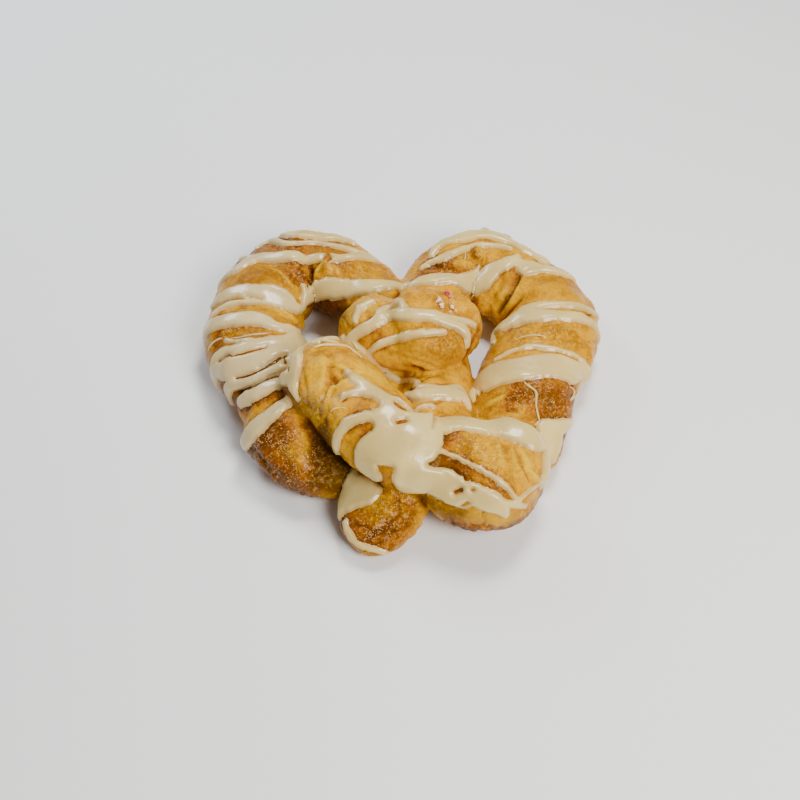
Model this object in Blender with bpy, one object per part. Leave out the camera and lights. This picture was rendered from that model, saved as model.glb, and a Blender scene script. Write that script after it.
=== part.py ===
"""A twisted pastry pretzel with bands of thick icing, modelled as one solid.

The pretzel is one rope of dough, laid as a heart. It ends as a thin tongue at the front, runs straight
back below everything else to the notch, makes the right lobe and the right arm, turns under the thick
front strand, passes below the middle, makes the left arm and the left lobe, rises over itself as the
lump in the middle, comes down in front of it and ends as the arm that lies across the left side.
X is the width, Y points to the notch of the heart, Z is up, and the pretzel rests on the plane Z = 0.
All sizes are in millimetres until the meshes are made.
"""

import bmesh
import bpy
import numpy as np

MM = 0.001
NODE = "pretzel"
BASE_STRAND = "left"
FLOOR_BLOCK = 300

# Where the middle of the pretzel lies among the stations: it becomes the origin
CENTRE = (0.23, 17.53, 0.0)

DOUGH_COLOUR = (0.62, 0.31, 0.07, 1.0)
DOUGH_ROUGHNESS = 0.4

# How finely the dough and the icing are meshed
RING_SIDES = 20
RING_STEP = 5.0
FINE_STEP = 0.5
BAND_STEP = 6.0
BAND_ACROSS = 5

# The ends of every strand are rounded over this length
END_LENGTH = 8.0

# On the inside of a bend, the skin reaches at most this share of the way to the bend's centre
MOST_CROWDING = 0.62

# A fold's fade round the strand and the limit in a bend both have this power, which makes them sharp.
SHARPNESS = 4

# The dough is swollen this far behind a fold and over this length, in widths of the fold.
SWELL_PLACE = 2.0
SWELL_LENGTH = 1.5

# Icing stands this high in the middle of a band, and reaches this deep into the dough
ICING_HEIGHT = 1.5
ICING_DEPTH = 1.6
ICING_EDGE = 0.35

# A band narrows to this share of its width at both ends, and its back is this share of its width.
BAND_END = 0.45
BAND_BACK = 0.75

# Each station of a strand is x, y, height of its middle, half width and half height.
STATIONS = {
    "left": (
        (-2, 40, 11, 12, 9),
        (-7.3, 50.4, 11, 13, 10),
        (-19.4, 63.8, 10.5, 15.4, 11),
        (-34, 71, 10.5, 17.5, 11.5),
        (-47, 61, 10.5, 18.8, 12),
        (-53, 44, 10.5, 17.5, 12),
        (-51, 27, 10.5, 18, 12),
        (-41.4, 9.5, 10.5, 16.3, 11.5),
        (-35, -7, 11, 17.5, 12),
        (-25, -17.5, 9, 15.5, 10),
        (-10, -19, 6, 11, 7),
        (4, -22, 10, 11, 10),
        (16, -24, 15.5, 17, 13.5),
        (28, -30, 15, 19, 15),
        (35, -21.8, 14, 13.8, 14),
        (39.5, -13.5, 12, 12, 11.5),
    ),
    "right": (
        (36, -22, 7, 14, 8),
        (39.5, -9, 8, 16, 9.5),
        (42.5, 5, 10, 17.5, 11),
        (46.7, 19.4, 10.5, 17.6, 11.5),
        (52.6, 34, 10.5, 18.7, 11.5),
        (52.8, 50, 10.5, 18.3, 11.5),
        (44.3, 60.8, 10.5, 16.9, 11.5),
        (33, 71.5, 11, 16.5, 11.5),
        (18, 65, 11, 15, 11),
        (10, 50, 10, 13, 10),
        (8, 38, 9, 12, 9),
    ),
    "spine": (
        (12, 52, 9, 12, 9),
        (4, 40, 9, 13, 9),
        (-2, 22, 8.5, 13, 8.5),
        (-6, 4, 8.5, 13.5, 8.5),
        (-6, -16, 8.5, 14, 8.5),
        (-4.9, -33, 7.5, 15.3, 7.5),
        (-8, -44, 6, 12, 6),
        (-10.5, -53, 4, 7.5, 4.5),
    ),
    "lump": (
        (-19, 32, 17, 9, 9),
        (-12, 29, 21, 13, 11),
        (0, 25.5, 25, 15, 12),
        (11, 25, 26, 16, 12),
        (18.5, 28, 25, 12.5, 11.5),
        (23.5, 33, 22, 8.5, 9),
    ),
    "middle": (
        (13, 26, 16, 12, 10),
        (12.5, 12, 13, 12.5, 10),
        (12, -2, 13, 13, 10),
        (12, -16, 15, 13, 10),
    ),
    "arm": (
        (15, -23, 21, 14, 11),
        (2, -25, 24, 14.5, 11),
        (-12, -13, 25, 15, 11),
        (-23, 1, 25, 15, 11),
        (-33, 13, 25, 14, 11),
    ),
}

# Each fold crosses a strand: distance along it, angle round it, slant in millimetres for each quarter
# turn, how many degrees it reaches to either side, its depth as a share of the section, its width,
# and how far the dough behind it is swollen.
FOLDS = {
    "left": (
        (24, 90, -5, 90, 0.10, 3.0, 0.06),
        (50, 110, 14, 65, 0.15, 3.2, 0.10),
        (66, 115, 6, 80, 0.10, 3.0, 0.07),
        (86, 115, 4, 90, 0.10, 3.0, 0.08),
        (98, 70, -8, 90, 0.07, 3.0, 0.05),
        (117, 60, 8, 80, 0.07, 3.0, 0.05),
        (132, 60, 4, 90, 0.09, 3.5, 0.06),
        (155, 50, -6, 60, 0.08, 3.5, 0.05),
        (216, 55, 3, 60, 0.12, 3.0, 0.09),
        (204, 40, -6, 50, 0.07, 3.0, 0.05),
    ),
    "right": (
        (23, 90, 6, 80, 0.08, 3.5, 0.06),
        (50, 60, 8, 90, 0.07, 3.0, 0.05),
        (72, 60, -8, 80, 0.06, 3.0, 0.05),
        (87, 110, 5, 60, 0.14, 3.0, 0.09),
        (101, 45, 8, 70, 0.08, 3.0, 0.06),
        (113, 105, 10, 60, 0.13, 3.0, 0.10),
        (128, 80, -8, 70, 0.08, 3.0, 0.06),
    ),
    "spine": (
        (98, 60, 8, 70, 0.06, 3.0, 0.04),
    ),
    "lump": (
        (20, 100, -4, 75, 0.20, 3.0, 0.10),
        (37, 60, 8, 60, 0.06, 3.0, 0.05),
    ),
    "middle": (
        (18, 90, 5, 80, 0.08, 3.0, 0.05),
    ),
    "arm": (
        (45, 95, 10, 45, 0.10, 2.8, 0.08),
        (34, 60, -6, 80, 0.07, 3.0, 0.05),
        (20, 110, 6, 80, 0.06, 3.0, 0.05),
    ),
}

# Each band of icing: its strand, its half width, and the places that it passes, each as a distance
# along the strand and an angle round it.
BANDS = (
    ("left", 1.9, (58, 22), (52, 60), (41, 74), (30, 62), (22, 45)),
    ("left", 2.8, (74, 8), (66, 38), (56, 72), (47, 95), (35, 92), (24, 70), (19, 50)),
    ("left", 4.8, (82, 12), (79, 45), (75, 85), (72, 115), (71, 150)),
    ("left", 4.0, (60, 146), (45, 144), (30, 130), (18, 100), (12, 45)),
    ("left", 3.4, (92, -15), (88, 10), (87, 40), (88, 75), (92, 108), (98, 145)),
    ("left", 4.4, (105, 0), (106, 40), (108, 75), (109, 115)),
    ("left", 2.6, (112, 8), (114, 50), (115, 95)),
    ("left", 3.4, (122, 8), (121, 40), (121, 75)),
    ("left", 4.6, (131, -15), (134, 12), (134, 45), (134, 82)),
    ("right", 2.6, (118, 22), (112, 42), (103, 50), (96, 62), (87, 58)),
    ("right", 2.3, (129, 55), (122, 80), (112, 92), (100, 84)),
    ("right", 3.8, (140, 45), (135, 80), (127, 110), (116, 128), (102, 126), (94, 100)),
    ("right", 3.6, (91, 100), (86, 70), (80, 48), (77, 25)),
    ("right", 4.4, (57, 180), (59, 128), (64, 100), (67, 70), (70, 25)),
    ("right", 6.0, (27, 185), (31, 145), (34, 110), (38, 75), (44, 25)),
    ("lump", 3.0, (8, 28), (18, 62), (28, 78), (37, 62), (42, 35)),
    ("lump", 1.5, (14, 15), (20, 38), (27, 50), (35, 54)),
    ("middle", 2.6, (24, 30), (25, 90), (25, 145)),
    ("arm", 3.2, (57, 60), (50, 48), (42, 45)),
    ("arm", 3.4, (41, 82), (34, 78), (26, 84), (20, 96)),
    ("arm", 2.4, (26, 185), (30, 150), (28, 122), (23, 108)),
    ("arm", 8.5, (27, 96), (19, 104), (10, 104), (2, 98)),
    ("arm", 8.0, (15, 95), (16, 125), (15, 150), (14, 178)),
    ("arm", 4.0, (8, 110), (5, 140), (4, 165)),
    ("arm", 5.0, (56, 60), (57, 100), (57, 140), (56, 195)),
    ("left", 6.0, (196, 120), (204, 116), (212, 108), (219, 98)),
    ("left", 4.6, (217, 112), (218.5, 85), (220, 55), (220, 20)),
    ("left", 4.8, (190, 62), (198, 48), (206, 44), (210, 30)),
    ("spine", 6.5, (86, 30), (90, 50), (91, 75)),
    ("spine", 2.2, (92, 5), (100, 12), (107, 30)),
)


def smooth_through(rows, step):
    """Rows read at about this spacing from the natural cubic spline through all the stations."""
    rows = np.array(rows, float)
    gaps = np.linalg.norm(np.diff(rows[:, :3], axis=0), axis=1)
    knots = np.concatenate([[0.0], np.cumsum(gaps)])
    count = len(rows)
    matrix = np.eye(count)
    right = np.zeros_like(rows)
    for i in range(1, count - 1):
        matrix[i, i - 1 : i + 2] = gaps[i - 1], 2 * (gaps[i - 1] + gaps[i]), gaps[i]
        right[i] = 6 * ((rows[i + 1] - rows[i]) / gaps[i] - (rows[i] - rows[i - 1]) / gaps[i - 1])
    bend = np.linalg.solve(matrix, right)
    places = np.linspace(0, knots[-1], int(np.ceil(knots[-1] / step)) + 1)
    k = np.clip(np.searchsorted(knots, places, side="right") - 1, 0, count - 2)
    gap = gaps[k][:, None]
    before = (places - knots[k])[:, None]
    after = gap - before
    return (
        (bend[k] * after**3 + bend[k + 1] * before**3) / (6 * gap)
        + (rows[k] / gap - bend[k] * gap / 6) * after
        + (rows[k + 1] / gap - bend[k + 1] * gap / 6) * before
    )


class Strand:
    """A strand of dough, read at any distance along it and any angle round it.

    The angle is 0 at the right-hand side as one walks along the strand, 90 on top and 180 at the left.
    """

    def __init__(self, rows, folds):
        path = smooth_through(rows, FINE_STEP)
        centre = path[:, :3]
        tangent = np.gradient(centre, axis=0)
        tangent /= np.linalg.norm(tangent, axis=1)[:, None]
        side = np.cross(tangent, [0.0, 0.0, 1.0])
        side /= np.linalg.norm(side, axis=1)[:, None]
        up = np.cross(side, tangent)
        steps = np.linalg.norm(np.diff(centre, axis=0), axis=1)
        self.along = np.concatenate([[0.0], np.cumsum(steps)])
        self.length = self.along[-1]
        from_end = np.minimum(self.along, self.length - self.along)
        ease = np.sqrt(1 - (1 - np.clip(from_end / END_LENGTH, 0.02, 1)) ** 2)
        bend = np.sum(np.gradient(tangent, axis=0) * side, axis=1) / FINE_STEP
        self.table = np.column_stack([centre, side, up, path[:, 3] * ease, path[:, 4] * ease, bend])
        self.folds = folds

    def relief(self, along, angle):
        """Share of its smooth size that the section has at each place, with the folds pressed in."""
        share = np.ones(along.shape)
        for middle, around, slant, reach, depth, width, swell in self.folds:
            turn = (angle - around + 180) % 360 - 180
            fade = np.exp(-((turn / reach) ** SHARPNESS))
            gap = (along - middle - slant * turn / 90) / width
            share -= depth * fade * np.exp(-(gap**2))
            share += swell * fade * np.exp(-(((gap - SWELL_PLACE) / SWELL_LENGTH) ** 2))
        return share

    def at(self, along, angle, lift=0.0):
        """Points on the skin of the dough, or this far outside it."""
        along, angle, lift = np.broadcast_arrays(np.asarray(along, float), angle, lift)
        row = [np.interp(along, self.along, column) for column in self.table.T]
        centre, side, up = (np.stack(row[i : i + 3], axis=-1) for i in (0, 3, 6))
        half_width, half_height, bend = row[9:]
        cosine, sine = np.cos(np.radians(angle)), np.sin(np.radians(angle))
        share = self.relief(along, angle)
        across, height = half_width * cosine * share, half_height * sine * share
        crowding = np.maximum(across * bend, 0.0) / MOST_CROWDING
        across = across / (1 + crowding**SHARPNESS) ** (1 / SHARPNESS)
        out_across, out_height = half_height * cosine, half_width * sine
        outward = lift / np.maximum(np.hypot(out_across, out_height), 0.5)
        across, height = across + outward * out_across, height + outward * out_height
        return centre + side * across[..., None] + up * height[..., None]

    def rings(self):
        """The skin as rings of points across the strand."""
        along = np.linspace(0, self.length, int(np.ceil(self.length / RING_STEP)) + 1)
        return self.at(along[:, None], np.linspace(0, 360, RING_SIDES, endpoint=False)[None, :])


def band_rings(strand, half_width, places):
    """Rings of points across a band of icing: a rounded top over the skin and a flat back in the dough."""
    places = np.array(places, float)
    round_size = strand.table[:, 9].max()
    flat = places * [1.0, np.radians(1) * round_size]
    path = smooth_through(np.column_stack([flat, np.zeros((len(flat), 3))]), BAND_STEP)[:, :2]
    heading = np.gradient(path, axis=0)
    heading /= np.linalg.norm(heading, axis=1)[:, None]
    across = np.column_stack([-heading[:, 1], heading[:, 0]])
    ease = np.ones(len(path))
    ease[[0, -1]] = BAND_END
    over = np.linspace(-1, 1, BAND_ACROSS)
    share = np.concatenate([over, [BAND_BACK, -BAND_BACK]])
    top = (ICING_HEIGHT + ICING_EDGE) * np.sqrt(1 - over**2) - ICING_EDGE
    lift = np.concatenate([top, [-ICING_DEPTH, -ICING_DEPTH]])
    reach = ease[:, None] * share * half_width
    flat = path[:, None, :] + across[:, None, :] * reach[..., None]
    angle = np.degrees(flat[..., 1] / round_size)
    return strand.at(flat[..., 0], angle, lift * np.where(lift > 0, ease[:, None], 1.0))


def closed_object(name, ring, collection):
    """An object whose mesh joins the rings with quads and closes each end with a fan of triangles."""
    count, sides = ring.shape[:2]
    ends = [ring[0].mean(axis=0), ring[-1].mean(axis=0)]
    points = (np.concatenate([ring.reshape(-1, 3), ends]) - CENTRE) * MM
    around = np.arange(sides)
    after = (around + 1) % sides
    base = np.arange(count - 1)[:, None] * sides
    quads = np.stack([base + around, base + sides + around, base + sides + after, base + after], axis=-1)
    last = (count - 1) * sides
    first_fan = [(count * sides, int(i), int(j)) for i, j in zip(around, after)]
    last_fan = [(count * sides + 1, last + int(j), last + int(i)) for i, j in zip(around, after)]
    mesh = bpy.data.meshes.new(name)
    mesh.from_pydata(points.tolist(), [], quads.reshape(-1, 4).tolist() + first_fan + last_fan)
    mesh.validate()
    obj = bpy.data.objects.new(name, mesh)
    collection.objects.link(obj)
    return obj


def floor_block(collection):
    """A block below the resting plane, which cuts the underside flat."""
    block = bmesh.new()
    bmesh.ops.create_cube(block, size=FLOOR_BLOCK * MM)
    bmesh.ops.translate(block, verts=block.verts, vec=(0, 0, -FLOOR_BLOCK / 2 * MM))
    mesh = bpy.data.meshes.new("floor")
    block.to_mesh(mesh)
    block.free()
    floor = bpy.data.objects.new("floor", mesh)
    floor.hide_render = True
    floor.display_type = "WIRE"
    collection.objects.link(floor)
    return floor


def joined(name, first, others, floor):
    """One mesh: the first object with all of the others fused to it and its underside cut flat."""
    fuse = first.modifiers.new("fuse", "BOOLEAN")
    fuse.operation = "UNION"
    fuse.operand_type = "COLLECTION"
    fuse.collection = others
    fuse.solver = "MANIFOLD"
    cut = first.modifiers.new("flat underside", "BOOLEAN")
    cut.operation = "DIFFERENCE"
    cut.object = floor
    cut.solver = "MANIFOLD"
    mesh = bpy.data.meshes.new_from_object(first.evaluated_get(bpy.context.evaluated_depsgraph_get()))
    mesh.name = name
    for spent in [first, *others.objects]:
        bpy.data.objects.remove(spent)
    bpy.data.collections.remove(others)
    return mesh


def keep_outer_skin(mesh):
    """Deletes sealed hollows and loose scraps, so that one closed skin is left."""
    cleared = bmesh.new()
    cleared.from_mesh(mesh)
    bmesh.ops.triangulate(cleared, faces=cleared.faces)
    unseen = set(cleared.faces)
    skins = []
    while unseen:
        front = [unseen.pop()]
        skin = list(front)
        while front:
            edges = [edge for edge in front.pop().edges if len(edge.link_faces) == 2]
            near = {face for edge in edges for face in edge.link_faces} & unseen
            unseen -= near
            front += near
            skin += near
        corners = np.array([[tuple(vert.co) for vert in face.verts] for face in skin])
        skins.append((np.linalg.det(corners).sum(), skin))
    skins.sort(key=lambda pair: pair[0])
    for _, skin in skins[:-1]:
        bmesh.ops.delete(cleared, geom=skin, context="FACES")
    cleared.to_mesh(mesh)
    cleared.free()


def dough_material():
    material = bpy.data.materials.new("baked dough")
    material.use_nodes = True
    shader = material.node_tree.nodes["Principled BSDF"]
    shader.inputs["Base Color"].default_value = DOUGH_COLOUR
    shader.inputs["Roughness"].default_value = DOUGH_ROUGHNESS
    shader.inputs["Metallic"].default_value = 0.0
    return material


def main():
    for obj in list(bpy.data.objects):
        bpy.data.objects.remove(obj)
    scene = bpy.context.scene.collection
    product, pieces, cutters = (bpy.data.collections.new(name) for name in (NODE, "pieces", "cutters"))
    for collection in (product, pieces, cutters):
        scene.children.link(collection)
    strands = {name: Strand(rows, FOLDS[name]) for name, rows in STATIONS.items()}
    for name, strand in strands.items():
        closed_object(name, strand.rings(), product if name == BASE_STRAND else pieces)
    for number, (name, half_width, *places) in enumerate(BANDS):
        closed_object(f"band_{number}", band_rings(strands[name], half_width, places), pieces)
    floor = floor_block(cutters)
    mesh = joined(NODE, bpy.data.objects[BASE_STRAND], pieces, floor)
    keep_outer_skin(mesh)
    mesh.materials.clear()
    mesh.materials.append(dough_material())
    mesh.shade_smooth()
    product.objects.link(bpy.data.objects.new(NODE, mesh))


main()
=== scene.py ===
# %% [markdown]
# # A maple-iced pastry pretzel
#
# The real thing is one rope of filled pastry, twisted and laid as a heart, baked golden brown and then
# striped with thick tan icing while it is still warm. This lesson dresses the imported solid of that
# pretzel: it makes the baked dough with its folds, layers and crust, and then the icing that lies on it.
# It could be sculpted by hand, but a sculpt can't be read or changed later. Here every form is a formula
# on arrays, so a fold or a stripe is one line of numbers.

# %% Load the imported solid, which gives the frame and the size
import math

import bpy
import numpy as np
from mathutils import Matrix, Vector
from mathutils.bvhtree import BVHTree


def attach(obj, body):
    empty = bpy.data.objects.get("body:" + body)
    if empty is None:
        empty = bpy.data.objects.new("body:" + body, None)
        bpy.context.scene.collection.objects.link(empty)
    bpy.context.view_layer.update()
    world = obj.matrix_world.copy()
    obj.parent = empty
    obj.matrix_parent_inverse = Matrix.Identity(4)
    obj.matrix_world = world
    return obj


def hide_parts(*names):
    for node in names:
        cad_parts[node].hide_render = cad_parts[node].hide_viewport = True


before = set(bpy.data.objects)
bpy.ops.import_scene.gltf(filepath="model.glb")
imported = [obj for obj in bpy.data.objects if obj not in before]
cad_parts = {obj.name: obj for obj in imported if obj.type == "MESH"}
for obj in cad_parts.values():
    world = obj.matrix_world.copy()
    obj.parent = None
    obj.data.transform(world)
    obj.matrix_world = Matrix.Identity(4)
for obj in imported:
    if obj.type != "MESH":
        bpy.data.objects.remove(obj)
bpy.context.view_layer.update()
MM = 0.001

# %% [markdown]
# ## The camera
#
# The camera looks down at the pretzel by 50 degrees. It comes first, because folds and stripes are placed
# by the pixel at which they are seen: a ray from the camera through that pixel meets the dough, and the
# point that it meets is a real place on the surface, which holds from every other side as well.

# %% Camera and the rays through its pixels
PICTURE = 800
LENS = 53.0
SENSOR = 36.0
DISTANCE = 400.0
ELEVATION = math.radians(50.0)
CENTRE = np.array([0.23, 17.53, 0.0])
TARGET = np.array([0.0, 0.0, 18.0]) - CENTRE

FOCAL = LENS / SENSOR * PICTURE
FORWARD = np.array([0.0, math.cos(ELEVATION), -math.sin(ELEVATION)])
UPWARD = np.array([0.0, math.sin(ELEVATION), math.cos(ELEVATION)])
EYE = TARGET - DISTANCE * FORWARD

lens = bpy.data.cameras.new("camera")
lens.lens = LENS
lens.sensor_width = SENSOR
camera = bpy.data.objects.new("camera", lens)
camera.location = EYE * MM
camera.rotation_euler = (math.pi / 2 - ELEVATION, 0.0, 0.0)
bpy.context.scene.collection.objects.link(camera)
bpy.context.scene.camera = camera


def pixel_ray(x, y):
    """Unit direction through a pixel: forward, plus the pixel's offset over the focal length."""
    half = PICTURE / 2
    ray = FORWARD + np.array([1.0, 0.0, 0.0]) * (x - half) / FOCAL + UPWARD * (half - y) / FOCAL
    return ray / np.linalg.norm(ray)


print("one millimetre at the middle is", round(FOCAL / DISTANCE, 2), "pixels")

# %% [markdown]
# ## The rope of dough
#
# A rope is a section carried along a path. Each strand below is a list of stations, and a smooth curve
# goes through them all. The section is an ellipse whose width and height change along the path. Folds
# press into it where the rope was twisted. These are the same numbers that made the solid, so the dough
# lies where the solid does.

# %% Stations of the strands: x, y, height of the middle, half width, half height
STATIONS = {
    "left": (
        (-2, 40, 11, 12, 9), (-7.3, 50.4, 11, 13, 10), (-19.4, 63.8, 10.5, 15.4, 11),
        (-34, 71, 10.5, 17.5, 11.5), (-47, 61, 10.5, 18.8, 12), (-53, 44, 10.5, 17.5, 12),
        (-51, 27, 10.5, 18, 12), (-41.4, 9.5, 10.5, 16.3, 11.5), (-35, -7, 11, 17.5, 12),
        (-25, -17.5, 9, 15.5, 10), (-10, -19, 6, 11, 7), (4, -22, 10, 11, 10), (16, -24, 15.5, 17, 13.5),
        (28, -30, 15, 19, 15), (35, -21.8, 14, 13.8, 14), (39.5, -13.5, 12, 12, 11.5),
    ),
    "right": (
        (36, -22, 7, 14, 8), (39.5, -9, 8, 16, 9.5), (42.5, 5, 10, 17.5, 11),
        (46.7, 19.4, 10.5, 17.6, 11.5), (52.6, 34, 10.5, 18.7, 11.5), (52.8, 50, 10.5, 18.3, 11.5),
        (44.3, 60.8, 10.5, 16.9, 11.5), (33, 71.5, 11, 16.5, 11.5), (18, 65, 11, 15, 11),
        (10, 50, 10, 13, 10), (8, 38, 9, 12, 9),
    ),
    "spine": (
        (12, 52, 9, 12, 9), (4, 40, 9, 13, 9), (-2, 22, 8.5, 13, 8.5), (-6, 4, 8.5, 13.5, 8.5),
        (-6, -16, 8.5, 14, 8.5), (-4.9, -33, 7.5, 15.3, 7.5), (-8, -44, 6, 12, 6),
        (-10.5, -53, 4, 7.5, 4.5),
    ),
    "lump": (
        (-19, 32, 17, 9, 9), (-12, 29, 21, 13, 11), (0, 25.5, 25, 15, 12), (11, 25, 26, 16, 12),
        (18.5, 28, 25, 12.5, 11.5), (23.5, 33, 22, 8.5, 9),
    ),
    "middle": ((13, 26, 16, 12, 10), (12.5, 12, 13, 12.5, 10), (12, -2, 13, 13, 10), (12, -16, 15, 13, 10)),
    "arm": (
        (15, -23, 21, 14, 11), (2, -25, 24, 14.5, 11), (-12, -13, 25, 15, 11), (-23, 1, 25, 15, 11),
        (-33, 13, 25, 14, 11),
    ),
}
# Distance along, angle round, slant for each quarter turn, reach, depth, width and swelling of each fold
FOLDS = {
    "left": (
        (24, 90, -5, 90, 0.10, 3.0, 0.06), (50, 110, 14, 65, 0.15, 3.2, 0.10),
        (66, 115, 6, 80, 0.10, 3.0, 0.07), (86, 115, 4, 90, 0.10, 3.0, 0.08),
        (98, 70, -8, 90, 0.07, 3.0, 0.05), (117, 60, 8, 80, 0.07, 3.0, 0.05),
        (132, 60, 4, 90, 0.09, 3.5, 0.06), (155, 50, -6, 60, 0.08, 3.5, 0.05),
        (216, 55, 3, 60, 0.12, 3.0, 0.09), (204, 40, -6, 50, 0.07, 3.0, 0.05),
    ),
    "right": (
        (23, 90, 6, 80, 0.08, 3.5, 0.06), (50, 60, 8, 90, 0.07, 3.0, 0.05),
        (72, 60, -8, 80, 0.06, 3.0, 0.05), (87, 110, 5, 60, 0.14, 3.0, 0.09),
        (101, 45, 8, 70, 0.08, 3.0, 0.06), (113, 105, 10, 60, 0.13, 3.0, 0.10),
        (128, 80, -8, 70, 0.08, 3.0, 0.06),
    ),
    "spine": ((98, 60, 8, 70, 0.06, 3.0, 0.04),),
    "lump": ((20, 100, -4, 75, 0.20, 3.0, 0.10), (37, 60, 8, 60, 0.06, 3.0, 0.05)),
    "middle": ((18, 90, 5, 80, 0.08, 3.0, 0.05),),
    "arm": (
        (45, 95, 10, 45, 0.10, 2.8, 0.08), (34, 60, -6, 80, 0.07, 3.0, 0.05),
        (20, 110, 6, 80, 0.06, 3.0, 0.05),
    ),
}
print(len(STATIONS), "strands with", sum(map(len, FOLDS.values())), "folds")

# %% One strand, read at any distance along it and any angle round it
END_LENGTH = 8.0
MOST_CROWDING = 0.62
SWELL_PLACE = 2.0
SWELL_WIDTH = 1.5
FINE_STEP = 0.5


def bell(value):
    """The bell curve, 1 at zero: the exponential of minus the square."""
    return np.exp(-(value**2))


def unit(rows):
    """Each row divided by its length."""
    return rows / np.linalg.norm(rows, axis=1)[:, None]


def spline(rows, step):
    """The natural cubic curve through all rows, whose bends solve one tridiagonal system, at even steps."""
    rows = np.asarray(rows, float)
    gaps = np.linalg.norm(np.diff(rows[:, :3], axis=0), axis=1)
    knots = np.concatenate([[0.0], np.cumsum(gaps)])
    count = len(rows)
    matrix = np.eye(count)
    right = np.zeros_like(rows)
    slopes = np.diff(rows, axis=0) / gaps[:, None]
    inner = np.arange(1, count - 1)
    matrix[inner, inner - 1] = gaps[:-1]
    matrix[inner, inner] = 2 * (gaps[:-1] + gaps[1:])
    matrix[inner, inner + 1] = gaps[1:]
    right[inner] = 6 * np.diff(slopes, axis=0)
    bend = np.linalg.solve(matrix, right)
    places = np.linspace(0, knots[-1], int(np.ceil(knots[-1] / step)) + 1)
    k = np.clip(np.searchsorted(knots, places, side="right") - 1, 0, count - 2)
    gap = gaps[k][:, None]
    before = (places - knots[k])[:, None]
    after = gap - before
    return (
        (bend[k] * after**3 + bend[k + 1] * before**3) / (6 * gap)
        + (rows[k] / gap - bend[k] * gap / 6) * after
        + (rows[k + 1] / gap - bend[k + 1] * gap / 6) * before
    )


class Strand:
    """A strand of dough. Angle 0 is its right side as one walks along it, 90 is on top, 180 the left."""

    def __init__(self, rows, folds):
        path = spline(rows, FINE_STEP)
        self.centre = path[:, :3] - CENTRE
        self.tangent = unit(np.gradient(self.centre, axis=0))
        self.side = unit(np.cross(self.tangent, [0.0, 0.0, 1.0]))
        self.up = np.cross(self.side, self.tangent)
        steps = np.linalg.norm(np.diff(self.centre, axis=0), axis=1)
        self.along = np.concatenate([[0.0], np.cumsum(steps)])
        self.length = self.along[-1]
        from_end = np.minimum(self.along, self.length - self.along)
        ease = np.sqrt(1 - (1 - np.clip(from_end / END_LENGTH, 0.02, 1)) ** 2)
        self.width = path[:, 3] * ease
        self.height = path[:, 4] * ease
        self.bend = np.sum(np.gradient(self.tangent, axis=0) * self.side, axis=1) / FINE_STEP
        self.folds = folds

    def relief(self, along, angle):
        """Share of the smooth size: 1, less a bell-shaped groove at each fold, plus a swelling by it."""
        share = np.ones(np.shape(along))
        for middle, around, slant, reach, depth, width, swell in self.folds:
            turn = (angle - around + 180) % 360 - 180
            fade = np.exp(-((turn / reach) ** 4))
            gap = (along - middle - slant * turn / 90) / width
            groove = depth * fade * bell(gap)
            swelling = swell * fade * bell((gap - SWELL_PLACE) / SWELL_WIDTH)
            share = share - groove + swelling
        return share

    def at(self, along, angle):
        """Points on the skin: the middle line, plus cosine of the angle across and sine of it upwards."""
        along, angle = np.broadcast_arrays(np.asarray(along, float), np.asarray(angle, float))

        def read(table):
            """The table at these distances, on straight lines between its rows."""
            columns = [np.interp(along, self.along, column) for column in np.atleast_2d(table.T)]
            return np.stack(columns, axis=-1)

        share = self.relief(along, angle)
        across = read(self.width)[..., 0] * np.cos(np.radians(angle)) * share
        height = read(self.height)[..., 0] * np.sin(np.radians(angle)) * share
        crowding = np.maximum(across * read(self.bend)[..., 0], 0.0) / MOST_CROWDING
        across = across / (1 + crowding**4) ** 0.25
        return read(self.centre) + read(self.side) * across[..., None] + read(self.up) * height[..., None]


strands = {name: Strand(rows, FOLDS[name]) for name, rows in STATIONS.items()}
print({name: round(float(strand.length)) for name, strand in strands.items()}, "mm of rope")

# %% [markdown]
# ## One skin over all the strands
#
# Where two strands of dough touch in the oven they bake together, so there is one skin with soft creases
# and not six tubes pushed through each other. A Boolean would leave slivers along each crease. A voxel
# remesh keeps only the outer skin, in even squares, and a few rounds of smoothing round the creases a
# little, which is how risen dough meets.

# %% Helpers that turn arrays into a mesh and back
DOUGH_VOXEL = 0.79
ICING_VOXEL = 0.56
TUBE_SIDES = 72
TUBE_STEP = 1.0


def new_object(name, points, faces):
    """An object at the origin from points in millimetres and a list of faces."""
    mesh = bpy.data.meshes.new(name)
    mesh.from_pydata((np.asarray(points) * MM).tolist(), [], faces)
    mesh.update()
    obj = bpy.data.objects.new(name, mesh)
    bpy.context.scene.collection.objects.link(obj)
    return obj


def read_rows(items, name, columns, kind):
    """One property of all items of a mesh, as rows of an array."""
    flat = np.empty(len(items) * columns, kind)
    items.foreach_get(name, flat)
    return flat.reshape(-1, columns)


def points_of(mesh):
    """Vertices of a mesh as an array, in millimetres."""
    return read_rows(mesh.vertices, "co", 3, np.float32).astype(float) / MM


def normals_of(mesh):
    """The mesh's own unit normals, one for each vertex."""
    return read_rows(mesh.vertex_normals, "vector", 3, np.float32).astype(float)


def quads_of(mesh):
    """Corners of a mesh of quads as an array."""
    return read_rows(mesh.loops, "vertex_index", 1, np.int32).reshape(-1, 4)


def put_points(mesh, points):
    """Moves the vertices of a mesh to these points, given in millimetres."""
    mesh.vertices.foreach_set("co", (points * MM).astype(np.float32).ravel())
    mesh.update()


def tube_faces(rings, sides, first):
    """Quads between neighbouring rings and one many-sided face on each end, all facing outwards."""
    around = np.arange(sides)
    after = (around + 1) % sides
    base = first + np.arange(rings - 1)[:, None] * sides
    quads = np.stack([base + around, base + sides + around, base + sides + after, base + after], axis=-1)
    ends = [(first + around).tolist(), (first + (rings - 1) * sides + around[::-1]).tolist()]
    return quads.reshape(-1, 4).tolist() + ends


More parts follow.
